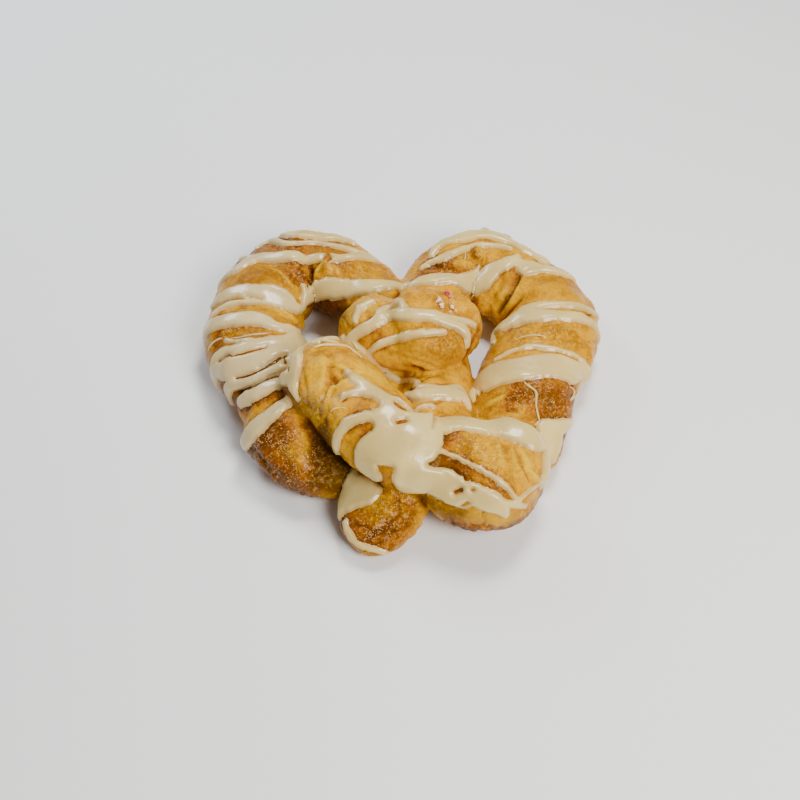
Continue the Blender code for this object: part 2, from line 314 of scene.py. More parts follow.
def with_modifiers(obj):
    """The object's mesh with its modifiers applied, as a new mesh."""
    graph = bpy.context.evaluated_depsgraph_get()
    return bpy.data.meshes.new_from_object(obj.evaluated_get(graph))


def one_skin(name, voxel, smoothing):
    """All strands as tubes, remeshed to one skin with even squares of this size and smoothed."""
    points, faces = [], []
    first = 0
    for strand in strands.values():
        rings = int(np.ceil(strand.length / TUBE_STEP)) + 1
        along = np.linspace(0, strand.length, rings)[:, None]
        angle = np.linspace(0, 360, TUBE_SIDES, endpoint=False)[None, :]
        points.append(strand.at(along, angle).reshape(-1, 3))
        faces += tube_faces(rings, TUBE_SIDES, first)
        first += rings * TUBE_SIDES
    obj = new_object(name, np.concatenate(points), faces)
    remesh = obj.modifiers.new("one skin", "REMESH")
    remesh.mode = "VOXEL"
    remesh.voxel_size = voxel * MM
    smooth = obj.modifiers.new("soften", "SMOOTH")
    smooth.factor = 0.5
    smooth.iterations = smoothing
    mesh = with_modifiers(obj)
    obj.modifiers.clear()
    obj.data = mesh
    return obj


dough = one_skin("dough", DOUGH_VOXEL, 4)
print("the dough has", len(dough.data.polygons), "faces")

# %% [markdown]
# ## Noise without a texture
#
# Dough is never even. Gradient noise gives each corner of a grid of cubes a random direction, and blends
# how far each point lies along the eight directions around it. It is written for whole arrays, so a
# hundred thousand points take a moment.

# %% Gradient noise
random = np.random.default_rng(7)
DIRECTIONS = unit(random.normal(size=(256, 3)))
SHUFFLE = np.tile(random.permutation(256), 3)


def smooth_step(low, high, value):
    """0 below low, 1 above high, and an S-shaped curve between them."""
    t = np.clip((value - low) / (high - low), 0, 1)
    return t * t * (3 - 2 * t)


def noise(points, size, seed=0):
    """Smooth random values between about -1 and 1, in lumps of this size in millimetres."""
    scaled = np.asarray(points, float) / size + 31.7 * (seed + 1)
    cell = np.floor(scaled).astype(int)
    inside = scaled - cell
    blend = inside**3 * (inside * (inside * 6 - 15) + 10)
    total = np.zeros(len(scaled))
    for corner in np.ndindex(2, 2, 2):
        corner = np.array(corner)
        i, j, k = ((cell + corner) & 255).T
        direction = DIRECTIONS[SHUFFLE[SHUFFLE[SHUFFLE[i] + j] + k]]
        weight = np.where(corner, blend, 1 - blend).prod(axis=1)
        total += weight * np.sum(direction * (inside - corner), axis=1)
    return total * 1.6


def layered_noise(points, layers):
    """The sum of noises, each with its height, size and seed."""
    return sum(height * noise(points, size, seed) for height, size, seed in layers)


print("noise at one point", np.round(noise(np.array([[1.0, 2.0, 3.0]]), 13), 3))


# %% [markdown]
# ## Places on the dough
#
# A place is written in one of two ways: as the pixel at which the camera sees it, or as a strand, a
# distance along it and an angle round it, for what lies out of sight. Both become points on the skin, and
# the last number of each place is a size in millimetres, such as half the width of a stripe.

# %% From places to smooth lines on the skin
tree = BVHTree.FromPolygons(points_of(dough.data).tolist(), quads_of(dough.data).tolist())
PATH_STEP = 0.6
LINE_PART = 64
RAY_SEARCH = 90.0
RAY_STEP = 2.0


def seen_at(x, y):
    """The point of the dough behind a pixel, or, just outside the outline, the nearest point to the ray."""
    ray = pixel_ray(x, y)
    hit = tree.ray_cast(Vector(EYE), Vector(ray))[0]
    if hit is not None:
        return np.array(hit)
    tries = [EYE + ray * far for far in np.arange(DISTANCE - RAY_SEARCH, DISTANCE + RAY_SEARCH, RAY_STEP)]
    found = [(tree.find_nearest(Vector(point)), point) for point in tries]
    return np.array(min(found, key=lambda pair: pair[0][3])[0][0])


def settled(points):
    """The nearest points of the skin."""
    return np.array([tree.find_nearest(Vector(point))[0] for point in points])


def place(entry):
    """A place as its point and its size."""
    if isinstance(entry[0], str):
        name, along, angle, size = entry
        return [*strands[name].at(along, angle), size]
    x, y, size = entry
    return [*seen_at(x, y), size]


def line_on_dough(entries):
    """A smooth line on the skin through all places: points, and the size at each."""
    rows = np.array([place(entry) for entry in entries])
    if len(rows) == 1:
        return rows[:, :3], rows[:, 3]
    line = spline(rows, PATH_STEP)
    return settled(line[:, :3]), np.maximum(line[:, 3], 0.1)


def near_line(points, line, margin):
    """For the points within a box round the line: which they are, how far off, and the nearest sample."""
    low, high = line.min(axis=0) - margin, line.max(axis=0) + margin
    which = np.flatnonzero(((points > low) & (points < high)).all(axis=1))
    far = np.full(len(which), np.inf)
    nearest = np.zeros(len(which), int)
    for start in range(0, len(line), LINE_PART):
        part = line[start : start + LINE_PART]
        gap = np.linalg.norm(points[which][:, None, :] - part[None, :, :], axis=2)
        best = gap.argmin(axis=1)
        closest = gap[np.arange(len(which)), best]
        nearer = closest < far
        far[nearer] = closest[nearer]
        nearest[nearer] = best[nearer] + start
    return which, far, nearest


print("the middle of the picture lies at", np.round(seen_at(400, 400), 1))

# %% [markdown]
# ## Folds, creases and layers
#
# The rope was twisted and its layers slid over each other. The big folds are in the strands. What is
# added here is finer, and it is drawn on the skin as lines of two kinds. A stroke raises or sinks a
# bell-shaped band along its line. An edge is where one sheet of pastry ends on top of another: the side
# to the left of the line, as one walks along it, is raised, ends in a sharp step, and a thin groove
# lies at the foot of the step.

# %% Strokes: how high, and the places that they pass with half their width
STROKES = (
    # back-left lobe: the crease beside the raised tip, the tip and the smooth bulge
    (-1.0, ((311, 270, 1.0), (312, 277, 1.1), (310, 283, 0.9))),
    (1.2, ((328, 258, 1.5), (327, 266, 1.8), (327, 278, 2.0))),
    (0.6, ((346, 264, 2.2), (352, 276, 2.2))),
    (0.7, ((246, 279, 4.0), (268, 283, 4.0), (285, 294, 3.0))),
    (-0.6, ((300, 262, 1.4), (303, 270, 1.3), (301, 280, 1.2))),
    (0.5, ((313, 288, 1.4), (313, 297, 1.5))),
    # left arm: the rolled lip at the opening, ridges between the stripes
    (0.7, ((284, 314, 1.6), (294, 319, 1.6), (302, 325, 1.4))),
    (0.45, ((234, 330, 0.8), (242, 326, 0.8), (250, 326, 0.8))),
    (0.45, ((244, 333, 0.8), (256, 329, 0.8), (270, 333, 0.8))),
    (-0.8, ((228, 377, 1.2), (250, 371, 1.3), (270, 361, 1.2))),
    (-0.9, ((240, 391, 1.3), (262, 380, 1.3), (280, 370, 1.2))),
    # the bulge in front of the left arm: a ridge down its middle and the fall to its right
    (1.1, ((280, 414, 2.6), (290, 434, 2.8), (298, 458, 2.8), (304, 482, 2.4))),
    (-1.1, ((308, 424, 2.4), (318, 444, 2.8), (324, 466, 2.8))),
    (-0.6, ((252, 446, 1.6), (264, 460, 1.6), (280, 472, 1.6))),
    (0.6, ((258, 462, 1.8), (270, 474, 1.8), (286, 484, 1.8))),
    # the arm: hollows between the layers at its end, and dents on its side
    (-1.0, ((330, 370, 1.2), (333, 377, 1.5), (336, 384, 0.9))),
    (0.5, ((340, 356, 1.5), (350, 361, 1.5), (358, 368, 1.4))),
    (-0.5, ((344, 363, 0.7), (352, 368, 0.8), (360, 374, 0.7))),
    (-0.6, ((306, 404, 1.5), (318, 412, 1.6), (326, 424, 1.5))),
    (0.5, ((322, 400, 1.7), (334, 408, 1.6), (342, 420, 1.3))),
    (-0.5, ((332, 394, 1.0), (344, 400, 1.1))),
    # the lump in the middle: the fold at its left with a small bulge, its pointed right side
    (-1.6, ((402, 290, 1.2), (395, 299, 1.4), (388, 308, 1.3), (386, 320, 1.1))),
    (0.9, ((372, 297, 2.6), (360, 309, 2.8), (354, 322, 2.4))),
    (1.0, ((377, 312, 1.8), (380, 317, 1.7))),
    (-0.7, ((366, 312, 1.0), (369, 320, 1.1))),
    (0.8, ((425, 292, 5.0), (448, 297, 5.0), (464, 303, 4.0))),
    (1.5, ((482, 306, 2.6), (484, 311, 2.2))),
    (-1.2, ((480, 330, 2.4), (472, 346, 2.2), (466, 362, 1.8))),
    (0.7, ((440, 352, 4.0), (456, 350, 3.4))),
    (-0.7, ((404, 366, 1.8), (420, 371, 1.8))),
    # right lobe: the filled valley at its foot, the raised knot, the flap with its fine ribs
    (1.0, ((476, 276, 1.6), (477, 285, 1.8), (477, 293, 1.8))),
    (2.7, ((476, 252, 1.8), (478, 257, 1.6))),
    (-0.6, ((468, 250, 0.8), (469, 256, 0.8))),
    (0.8, ((461, 260, 1.5), (468, 264, 1.5), (478, 265, 1.4))),
    (1.0, ((508, 270, 1.6), (506, 284, 1.7), (500, 298, 1.5))),
    (-0.45, ((503, 272, 0.6), (501, 284, 0.6), (495, 297, 0.6))),
    (-0.45, ((513, 272, 0.6), (511, 285, 0.7), (504, 298, 0.6))),
    (-0.9, ((519, 270, 1.1), (517, 282, 1.2), (511, 293, 1.2), (503, 305, 1.2), (498, 314, 1.2))),
    (-0.7, ((430, 266, 1.0), (444, 268, 1.1), (456, 272, 1.0))),
    # right arm: the smooth bulge and the slope below the widest stripe
    (0.7, ((530, 290, 5.0), (556, 291, 5.0), (574, 298, 4.0))),
    (0.5, ((520, 340, 4.0), (556, 334, 4.0))),
    (-0.8, ((480, 409, 1.2), (496, 407, 1.4), (516, 410, 1.4))),
    # the front strand: the rounded flap at its right end
    (1.2, ((531, 457, 2.6), (536, 466, 2.4))),
    (-0.8, ((518, 452, 0.8), (523, 466, 0.8), (530, 481, 0.8))),
    (0.5, ((440, 448, 2.2), (452, 446, 2.2))),
    (-0.7, ((458, 440, 1.0), (462, 452, 1.2), (470, 462, 1.0))),
    (0.5, ((476, 446, 2.0), (484, 458, 2.0))),
    # the tongue: its flat top has a rim
    (0.8, ((392, 470, 1.6), (388, 490, 1.8), (384, 510, 1.8))),
    (-0.6, ((402, 496, 1.6), (412, 506, 1.6), (408, 524, 1.6))),
    (0.7, ((432, 492, 1.2), (418, 514, 1.2), (400, 538, 1.2), (390, 549, 1.1))),
)
print(len(STROKES), "strokes")

# %% Edges: how high, how far the raised side carries on, and the places that they pass with half the step
EDGES = (
    # back-left lobe: the end of the smooth bulge, both sides of the tip
    (0.8, 6.0, ((299, 303, 0.6), (297, 294, 0.6), (292, 284, 0.6), (284, 274, 0.6), (272, 268, 0.6),
     (256, 269, 0.6))),
    (0.9, 4.0, ((329, 253, 0.5), (320, 264, 0.5), (314, 275, 0.6), (313, 284, 0.6))),
    (0.6, 3.5, ((345, 288, 0.6), (341, 276, 0.6), (337, 264, 0.6), (331, 254, 0.5))),
    (0.4, 3.0, ((362, 284, 0.5), (364, 274, 0.5), (360, 262, 0.5))),
    # left arm: the tongue over the stripe below
    (0.9, 4.0, ((250, 307, 0.5), (264, 308, 0.6), (278, 312, 0.6), (290, 321, 0.6), (302, 330, 0.6))),
    (0.4, 2.5, ((226, 334, 0.5), (240, 337, 0.5), (258, 337, 0.5))),
    # the arm: sheets that end round its tip
    (0.6, 3.0, ((310, 355, 0.5), (318, 349, 0.5), (328, 346, 0.5), (342, 348, 0.5), (356, 352, 0.5),
     (368, 360, 0.5))),
    (0.45, 3.0, ((318, 398, 0.5), (321, 388, 0.6), (325, 376, 0.6), (326, 364, 0.6), (322, 354, 0.5))),
    (0.5, 2.0, ((340, 371, 0.4), (334, 362, 0.4), (324, 357, 0.4), (314, 358, 0.4))),
    (0.5, 2.0, ((314, 374, 0.4), (320, 368, 0.4), (328, 366, 0.4))),
    (0.9, 3.5, ((331, 362, 0.5), (338, 368, 0.6), (346, 373, 0.6), (356, 376, 0.5))),
    (1.0, 3.5, ((356, 377, 0.5), (347, 379, 0.6), (338, 382, 0.6), (328, 390, 0.6), (325, 400, 0.5))),
    (0.6, 2.5, ((309, 354, 0.5), (306, 364, 0.6), (306, 378, 0.6), (309, 394, 0.5))),
    (0.4, 3.0, ((336, 398, 0.5), (322, 404, 0.5), (312, 418, 0.5))),
    (0.4, 3.0, ((352, 392, 0.5), (344, 404, 0.5), (334, 424, 0.5), (332, 440, 0.5))),
    # the lump: the layer that ends across its front, one on its left, one at its top
    (0.8, 6.0, ((384, 347, 0.7), (398, 353, 0.8), (412, 357, 0.8), (426, 361, 0.8), (440, 367, 0.7))),
    (0.6, 3.0, ((350, 330, 0.6), (356, 318, 0.6), (364, 308, 0.6), (376, 300, 0.6))),
    (0.5, 4.0, ((470, 330, 0.6), (474, 318, 0.6), (470, 304, 0.6), (462, 292, 0.6))),
    (0.4, 4.0, ((400, 312, 0.5), (402, 304, 0.5), (412, 298, 0.5), (424, 294, 0.5))),
    # right lobe and right arm
    (1.1, 3.0, ((481, 262, 0.5), (484, 255, 0.5), (480, 247, 0.5))),
    (0.9, 5.0, ((522, 268, 0.6), (521, 280, 0.7), (514, 293, 0.7), (506, 306, 0.7), (501, 318, 0.6))),
    (0.5, 4.0, ((446, 270, 0.5), (458, 266, 0.5), (472, 268, 0.5), (484, 262, 0.5))),
    (0.5, 5.0, ((524, 388, 0.6), (506, 394, 0.7), (488, 402, 0.7), (476, 410, 0.6))),
    (0.4, 4.0, ((506, 346, 0.5), (526, 339, 0.5), (548, 338, 0.5), (568, 342, 0.5))),
    # the front strand: the flap, and the sheets fanned beside it
    (1.2, 4.0, ((518, 448, 0.5), (521, 458, 0.6), (526, 469, 0.6), (533, 480, 0.6), (541, 484, 0.5))),
    (0.5, 3.5, ((506, 440, 0.9), (510, 455, 1.0), (515, 470, 1.0), (520, 486, 0.9))),
    (0.5, 3.5, ((494, 440, 0.9), (497, 455, 1.0), (502, 468, 1.0))),
    (0.4, 3.0, ((449, 440, 0.5), (455, 448, 0.5), (458, 456, 0.5))),
    (0.4, 4.0, ((466, 516, 0.5), (478, 512, 0.6), (494, 514, 0.6), (506, 520, 0.5))),
    # the bulge in front of the left arm, and the tongue
    (0.5, 4.0, ((246, 442, 0.5), (258, 452, 0.6), (268, 466, 0.6), (286, 476, 0.6))),
    (0.6, 4.0, ((380, 488, 0.5), (392, 492, 0.6), (402, 500, 0.6), (418, 500, 0.5))),
    (0.5, 4.0, ((360, 512, 0.5), (374, 508, 0.6), (386, 514, 0.6))),
)


def normals_at(points):
    """The normal of the skin's face that lies nearest to each point."""
    return np.array([tree.find_nearest(Vector(point))[1] for point in points])


def edge_line(height, reach, entries):
    """An edge as its line with the direction of its raised side and a fade towards both ends."""
    line, width = line_on_dough(entries)
    leftward = unit(np.cross(normals_at(line), np.gradient(line, axis=0)))
    fade = np.sin(np.pi * np.linspace(0.03, 0.97, len(line))) ** 0.5
    return height, reach, line, width, leftward, fade


stroke_lines = [(height, *line_on_dough(entries)) for height, entries in STROKES]
edge_lines = [edge_line(*entry) for entry in EDGES]
BELL_REACH = 3.0


def stroke_relief(points):
    """The sum over all strokes of height times the bell curve of distance over width."""
    lift = np.zeros(len(points))
    for height, line, width in stroke_lines:
        which, far, nearest = near_line(points, line, BELL_REACH * width.max())
        lift[which] += height * bell(far / width[nearest])
    return lift


EDGE_MARGIN = 2.2
EDGE_FADE = 2.2
GROOVE_SHARE = 0.45
GROOVE_PLACE = 1.2
GROOVE_WIDTH = 0.9
LIP_PLACE = 0.8
LIP_WIDTH = 0.9


def edge_relief(points):
    """The sum over all edges, and how near each point is to a lip. Past the ends of a line it dies out."""
    lift = np.zeros(len(points))
    lip = np.zeros(len(points))
    for height, reach, line, width, leftward, fade in edge_lines:
        which, far, nearest = near_line(points, line, EDGE_MARGIN * reach)
        side = np.sum((points[which] - line[nearest]) * leftward[nearest], axis=1)
        past = np.sqrt(np.maximum(far**2 - side**2, 0.0))
        amount = fade[nearest] * bell(past / EDGE_FADE)
        half = width[nearest]
        step = smooth_step(-1, 1, side / half)
        raised = step * np.exp(-((np.maximum(side, 0) / reach) ** 1.5))
        groove = bell((side + GROOVE_PLACE * half) / (GROOVE_WIDTH * half))
        lift[which] += height * amount * (raised - GROOVE_SHARE * groove)
        on_lip = amount * height * bell((side - LIP_PLACE) / LIP_WIDTH)
        lip[which] = np.maximum(lip[which], on_lip)
    return lift, np.clip(lip, 0, 1)


print(len(edge_lines), "edges")

# %% Where each point lies on its strand
STRAND_REACH = 22.0
EVERY = 3
POINTS_AT_ONCE = 20000


def strand_places(points):
    """Distance along and angle round the strand whose skin passes nearest, and the strand's number."""
    best = np.full(len(points), np.inf)
    along = np.zeros(len(points))
    angle = np.zeros(len(points))
    number = np.zeros(len(points), int)
    for index, strand in enumerate(strands.values()):
        coarse = slice(0, None, EVERY)
        low = strand.centre.min(axis=0) - STRAND_REACH
        high = strand.centre.max(axis=0) + STRAND_REACH
        which = np.flatnonzero(((points > low) & (points < high)).all(axis=1))
        for part in np.array_split(which, max(1, len(which) // POINTS_AT_ONCE)):
            gap = points[part][:, None, :] - strand.centre[coarse][None, :, :]
            k = np.einsum("ijk,ijk->ij", gap, gap).argmin(axis=1) * EVERY
            k = np.minimum(k, len(strand.centre) - 1)
            offset = points[part] - strand.centre[k]
            across = np.sum(offset * strand.side[k], axis=1) / strand.width[k]
            height = np.sum(offset * strand.up[k], axis=1) / strand.height[k]
            off_skin = np.abs(np.hypot(across, height) - 1)
            nearer = off_skin < best[part]
            chosen = part[nearer]
            best[chosen] = off_skin[nearer]
            along[chosen] = (strand.along[k] + np.sum(offset * strand.tangent[k], axis=1))[nearer]
            angle[chosen] = np.degrees(np.arctan2(height, across))[nearer]
            number[chosen] = index
    return along, angle, number


print("strands are looked for within", STRAND_REACH, "mm of their middle line")

# %% [markdown]
# ## Browning and painted shade
#
# A crust is gold where the dough is thick and pale inside its folds, and brown where sugar ran and
# caught. Colour is kept as numbers on the vertices: how brown, pale, olive, amber, frosted and sugary,
# and how much painted shade lies beside and under the strands. Each is the greatest of many soft round
# patches, drawn at places as the strokes are.

# %% Patches of colour: amount, and places with their radius
BROWN = (
    (0.85, ((228, 266, 5), (244, 252, 6), (266, 243, 6), (290, 245, 5))),
    (0.55, ((288, 268, 4), (300, 276, 5), (312, 280, 4))),
    (0.5, ((300, 262, 4), (318, 258, 4), (345, 268, 5))),
    (0.75, ((318, 302, 5), (332, 306, 5), (344, 314, 5))),
    (0.9, ((226, 396, 5), (234, 379, 4), (252, 373, 4), (268, 366, 4), (285, 358, 5))),
    (0.9, ((242, 392, 4), (262, 384, 4), (282, 373, 4))),
    (0.7, ((232, 357, 3), (252, 352, 3), (270, 348, 3))),
    (0.85, ((236, 404, 5), (252, 398, 5), (276, 390, 5), (286, 386, 4))),
    (0.35, ((214, 350, 5), (222, 332, 4), (262, 333, 4))),
    (1.1, ((248, 446, 8), (260, 440, 9), (276, 430, 9))),
    (1.0, ((258, 462, 9), (276, 472, 9), (298, 488, 9))),
    (0.45, ((298, 440, 6), (304, 462, 6))),
    (1.0, ((306, 484, 6), (316, 474, 7), (322, 458, 6))),
    (0.58, ((346, 524, 6), (366, 530, 7), (380, 540, 7), (398, 528, 6))),
    (0.4, ((392, 476, 4), (394, 490, 5), (412, 500, 5))),
    (0.95, ((510, 400, 3), (522, 394, 6), (548, 396, 8), (572, 398, 7))),
    (0.8, ((540, 412, 6), (556, 420, 6), (562, 436, 5))),
    (0.85, ((423, 276, 4), (434, 268, 5), (446, 264, 4))),
    (0.4, ((452, 262, 4), (462, 268, 4), (508, 268, 4))),
    (0.95, ((428, 444, 4), (440, 440, 4), (452, 437, 3.5))),
    (1.05, ((430, 462, 5), (446, 467, 6), (462, 474, 5))),
    (0.5, ((470, 470, 4), (486, 478, 4), (504, 490, 4))),
    (0.45, ((390, 350, 4), (376, 338, 4))),
    (0.35, ((434, 350, 6), (456, 346, 6))),
    (0.35, ((290, 246, 7), (312, 246, 7), (340, 250, 7))),
    (0.35, ((508, 270, 4), (506, 284, 4), (500, 298, 4))),
    # the front strand's underside: browner crust, partly real and partly painted shade beneath the strand
    (0.7, ((498, 534, 4), (520, 525, 5), (536, 510, 5), (547, 494, 5))),
    (0.6, ((450, 520, 4), (462, 530, 4), (478, 536, 4))),
    (0.5, ((398, 407, 3), (401, 422, 3))),
    (0.45, ((360, 404, 5), (360, 431, 5))),
)
PALE = (
    (0.5, ((300, 352, 4), (318, 346, 4), (336, 348, 4))),
    (0.6, ((322, 360, 3), (321, 376, 3), (320, 388, 3))),
    (0.6, ((336, 388, 4), (346, 384, 4))),
    (0.8, ((366, 372, 5), (378, 378, 5), (392, 386, 5), (404, 392, 3))),
    (0.35, ((300, 396, 5), (312, 410, 5), (326, 424, 5))),
    (0.55, ((500, 455, 6), (512, 462, 6), (534, 460, 5))),
    (0.4, ((366, 398, 5), (372, 408, 4))),
    (0.35, ((322, 262, 4), (332, 268, 4))),
    (0.5, ((384, 372, 5), (396, 386, 5))),
    (0.75, ((230, 309, 3), (244, 309, 3), (264, 312, 4), (282, 316, 4))),
    (0.4, ((376, 352, 4), (392, 362, 5), (412, 368, 5))),
    (0.5, ((488, 402, 4), (500, 398, 4))),
    (0.5, ((420, 374, 5), (440, 374, 5), (456, 372, 4))),
    (0.6, ((508, 397, 3), (495, 401, 4), (482, 408, 4))),
    (0.4, ((548, 290, 5), (564, 294, 4))),
    (0.5, ((470, 258, 3), (462, 262, 3))),
)
OLIVE = (
    (0.9, ((380, 356, 5), (396, 360, 6), (414, 366, 6), (430, 368, 4))),
    (0.6, ((366, 372, 5), (378, 378, 5), (392, 386, 5))),
    (0.6, ((352, 312, 5), (366, 300, 5), (376, 308, 4))),
    (0.6, ((320, 438, 6), (330, 446, 4), (312, 420, 5))),
    (0.5, ((502, 290, 5), (508, 300, 5))),
    (0.5, ((486, 516, 6), (500, 520, 6))),
    (0.4, ((306, 300, 4), (300, 290, 3))),
)
AMBERED = (
    (0.8, ((228, 268, 9), (250, 256, 9), (275, 250, 9), (305, 250, 8))),
    (0.75, ((244, 282, 8), (264, 274, 8), (284, 276, 8), (300, 280, 7))),
    (0.6, ((240, 306, 8), (262, 310, 7), (282, 318, 6))),
    (0.7, ((232, 334, 8), (254, 334, 8))),
    (0.5, ((345, 262, 7), (360, 272, 7))),
    (0.6, ((310, 312, 8), (330, 318, 8))),
    (0.6, ((490, 400, 8), (478, 408, 7))),
    (0.5, ((425, 275, 7), (440, 268, 7))),
    (0.5, ((500, 512, 8), (470, 518, 8))),
    (0.8, ((350, 526, 7), (368, 530, 8), (384, 536, 8), (402, 520, 7))),
    (0.35, ((540, 290, 9), (562, 294, 8))),
    (0.35, ((516, 342, 8), (544, 338, 8), (572, 344, 8))),
    (0.4, ((505, 282, 5), (503, 296, 5))),
    (0.75, ((286, 246, 7), (312, 246, 7), (340, 250, 7))),
    (0.45, ((434, 349, 7), (450, 344, 7), (458, 336, 6))),
)
# Painted shade: dark brown laid where shade falls, on the bulge beside the arm, under the strands, in the
# gaps and hollows
PAINTED_SHADE = (
    (0.9, ((324, 434, 5), (334, 452, 7), (342, 468, 7), (336, 482, 7))),
    (0.7, ((316, 452, 5), (322, 468, 7), (318, 484, 6))),
    (0.6, ((318, 306, 5), (332, 312, 5), (344, 318, 4))),
    (0.5, ((508, 296, 2.5), (502, 308, 2.5))),
    (0.5, ((404, 384, 3), (412, 388, 3))),
    (0.5, ((292, 374, 3), (284, 386, 3))),
    (0.5, ((262, 370, 3), (280, 361, 4), (288, 364, 4))),
    (0.6, ((338, 490, 4), (336, 506, 4))),
    (0.55, ((460, 513, 4), (448, 513, 5), (438, 507, 5), (430, 502, 4))),
    (0.55, ((512, 524, 5), (530, 512, 5), (543, 496, 4))),
    (0.45, ((300, 404, 5), (312, 414, 6), (322, 428, 6))),
    (0.6, ((270, 488, 4), (296, 496, 4), (318, 498, 4))),
)
FROSTED = (
    (0.6, ((302, 392, 5), (318, 400, 6), (334, 404, 5), (340, 396, 4))),
    (0.7, ((356, 306, 4), (366, 300, 4), (376, 300, 3))),
    (0.6, ((246, 440, 4), (256, 452, 5), (264, 464, 5))),
    (0.5, ((300, 360, 4), (300, 380, 5), (300, 392, 4))),
    (0.5, ((262, 424, 4), (276, 420, 4))),
    (0.5, ((424, 276, 4), (432, 266, 4), (444, 254, 4))),
    (0.5, ((384, 520, 5), (404, 508, 5))),
    (0.45, ((412, 306, 4), (424, 302, 4))),
    (0.45, ((222, 332, 4), (218, 344, 4))),
    (0.4, ((470, 444, 5), (482, 454, 5))),
    (0.4, ((352, 534, 4), (366, 546, 4))),
)
SUGARED = (
    (0.8, ((240, 258, 7), (268, 246, 7), (300, 272, 6))),
    (0.8, ((228, 334, 5), (236, 326, 5))),
    (1.0, ((262, 436, 9), (280, 450, 9), (290, 472, 9))),
    (0.9, ((380, 512, 8), (400, 504, 8), (372, 532, 8))),
    (0.8, ((520, 396, 8), (550, 398, 8), (566, 424, 6))),
    (0.9, ((474, 446, 6), (484, 454, 7), (492, 466, 6))),
    (0.8, ((440, 268, 6), (462, 262, 6), (480, 258, 5))),
    (0.6, ((340, 268, 6), (356, 272, 6))),
    (0.6, ((446, 300, 5), (444, 342, 6))),
    (0.7, ((524, 336, 7), (556, 332, 7))),
    (0.6, ((306, 410, 6), (322, 412, 6))),
    (0.7, ((366, 300, 5), (352, 316, 5))),
    (0.6, ((426, 272, 5), (440, 264, 5))),
)
PATCH_REACH = 2.6


def patches(points, table):
    """The greatest of all patches: amount times the bell curve of distance over radius."""
    value = np.zeros(len(points))
    for amount, entries in table:
        line, radius = line_on_dough(entries)
        which, far, nearest = near_line(points, line, PATCH_REACH * radius.max())
        value[which] = np.maximum(value[which], amount * bell(far / radius[nearest]))
    return value


print(len(BROWN), "brown and", len(SUGARED), "sugared places")

# %% Shape the dough and store its colours
CREASE_DEPTH = 0.55
CREASE_WIDTH = 0.06
SHELF_HEIGHT = 0.42
SHELF_STEP = 0.06
SHELF_REACH = 0.35
# How much the noises are drawn out along the rope and round it, and moved on from strand to strand
DRAWN_ALONG = 7.0
DRAWN_ROUND = 2.6
WRAPPED_ROUND = 4.5
WRAPPED_SLANT = 0.25
NEXT_STRAND = 40.0
NEXT_WRAPPED = 50.0
LEAST_ROUGH = 0.12
BROWN_ROUGH = 0.24
ROPE_RADIUS = 17.0
# Height, size and seed
LUMPS = ((0.50, 13, 1), (0.36, 5.5, 2), (0.22, 2.6, 3))


def fine_relief(points, along, angle, number, brown):
    """Lumps in three sizes, fine creases and steps round the rope, and a rough crust where it is brown."""
    around = np.radians(angle) * ROPE_RADIUS
    turned = np.stack([along / DRAWN_ALONG, around, number * NEXT_STRAND + along / 60.0], axis=1)
    crossed = np.stack([along, np.radians(angle) * DRAWN_ROUND, number * NEXT_STRAND], axis=1)
    lift = layered_noise(points, LUMPS)
    lift += 0.05 * noise(turned, 1.7, 4) + 0.05 * noise(crossed, 2.2, 5)
    slanted = along + WRAPPED_SLANT * around
    wrapped = np.stack([slanted, np.radians(angle) * WRAPPED_ROUND, number * NEXT_WRAPPED], axis=1)
    fold = noise(wrapped, 8.5, 7) + 0.15 * noise(points, 4, 8)
    crease = bell(fold / CREASE_WIDTH) * smooth_step(-0.1, 0.35, noise(points, 16, 9))
    layer = noise(wrapped, 5.0, 12) + 0.2 * noise(points, 3, 13)
    shelf = smooth_step(-SHELF_STEP, SHELF_STEP, layer) * np.exp(-np.maximum(layer, 0) / SHELF_REACH)
    shelf *= smooth_step(-0.25, 0.3, noise(points, 11, 14))
    lift += SHELF_HEIGHT * shelf - CREASE_DEPTH * crease
    rough = (LEAST_ROUGH + BROWN_ROUGH * brown) * noise(points, 1.7, 6) * (0.4 + brown)
    return lift + rough, crease


skin = points_of(dough.data)
out = normals_of(dough.data)
along, angle, number = strand_places(skin)
brown = patches(skin, BROWN)
strokes = stroke_relief(skin)
edges, lip = edge_relief(skin)
fine, crease = fine_relief(skin, along, angle, number, brown)
lift = strokes + edges + fine
shaped = skin + out * lift[:, None]
shaped[:, 2] = np.maximum(shaped[:, 2], 0.0)
put_points(dough.data, shaped)


def store(mesh, name, values):
    """One number for each vertex, under a name that a material can read."""
    attribute = mesh.attributes.new(name, "FLOAT", "POINT")
    attribute.data.foreach_set("value", np.asarray(values, np.float32))


underside = smooth_step(0.2, -0.8, out[:, 2])
store(dough.data, "brown", np.clip(brown + 0.25 * underside + 0.10 * noise(skin, 9, 11), 0, 1))
# The crease share is partly painted shade: the folds and the low places of the relief turn browner
store(dough.data, "crease", np.clip(crease * 0.6 - (strokes + edges) * 0.9 - fine * 0.35, 0, 1))
store(dough.data, "lip", lip)
tints = {"dark": PAINTED_SHADE, "frost": FROSTED, "pale": PALE}
tints.update({"olive": OLIVE, "amber": AMBERED, "sugar": SUGARED})
for name, table in tints.items():
    store(dough.data, name, np.clip(patches(skin, table), 0, 1))
store(dough.data, "along", along)
store(dough.data, "around", np.radians(angle) * ROPE_RADIUS)
dough.data.shade_smooth()
print("dough", np.round(np.ptp(shaped, axis=0), 1), "mm")

# %% [markdown]
# ## The icing
#
# Thick icing is poured in stripes and stands on the crust with a rounded edge, like honey on a plate. It
# could be swept as tubes, but tubes don't merge where stripes meet. So the whole skin is asked one
# question: how far inside a stripe is this point? Inside, the skin is lifted by a quarter-round profile
# that is flat in the middle of a wide pool. Outside, it dips below the dough. The visible edge is where
# the lifted sheet comes out of the crust, which is a clean line, finer than the mesh.

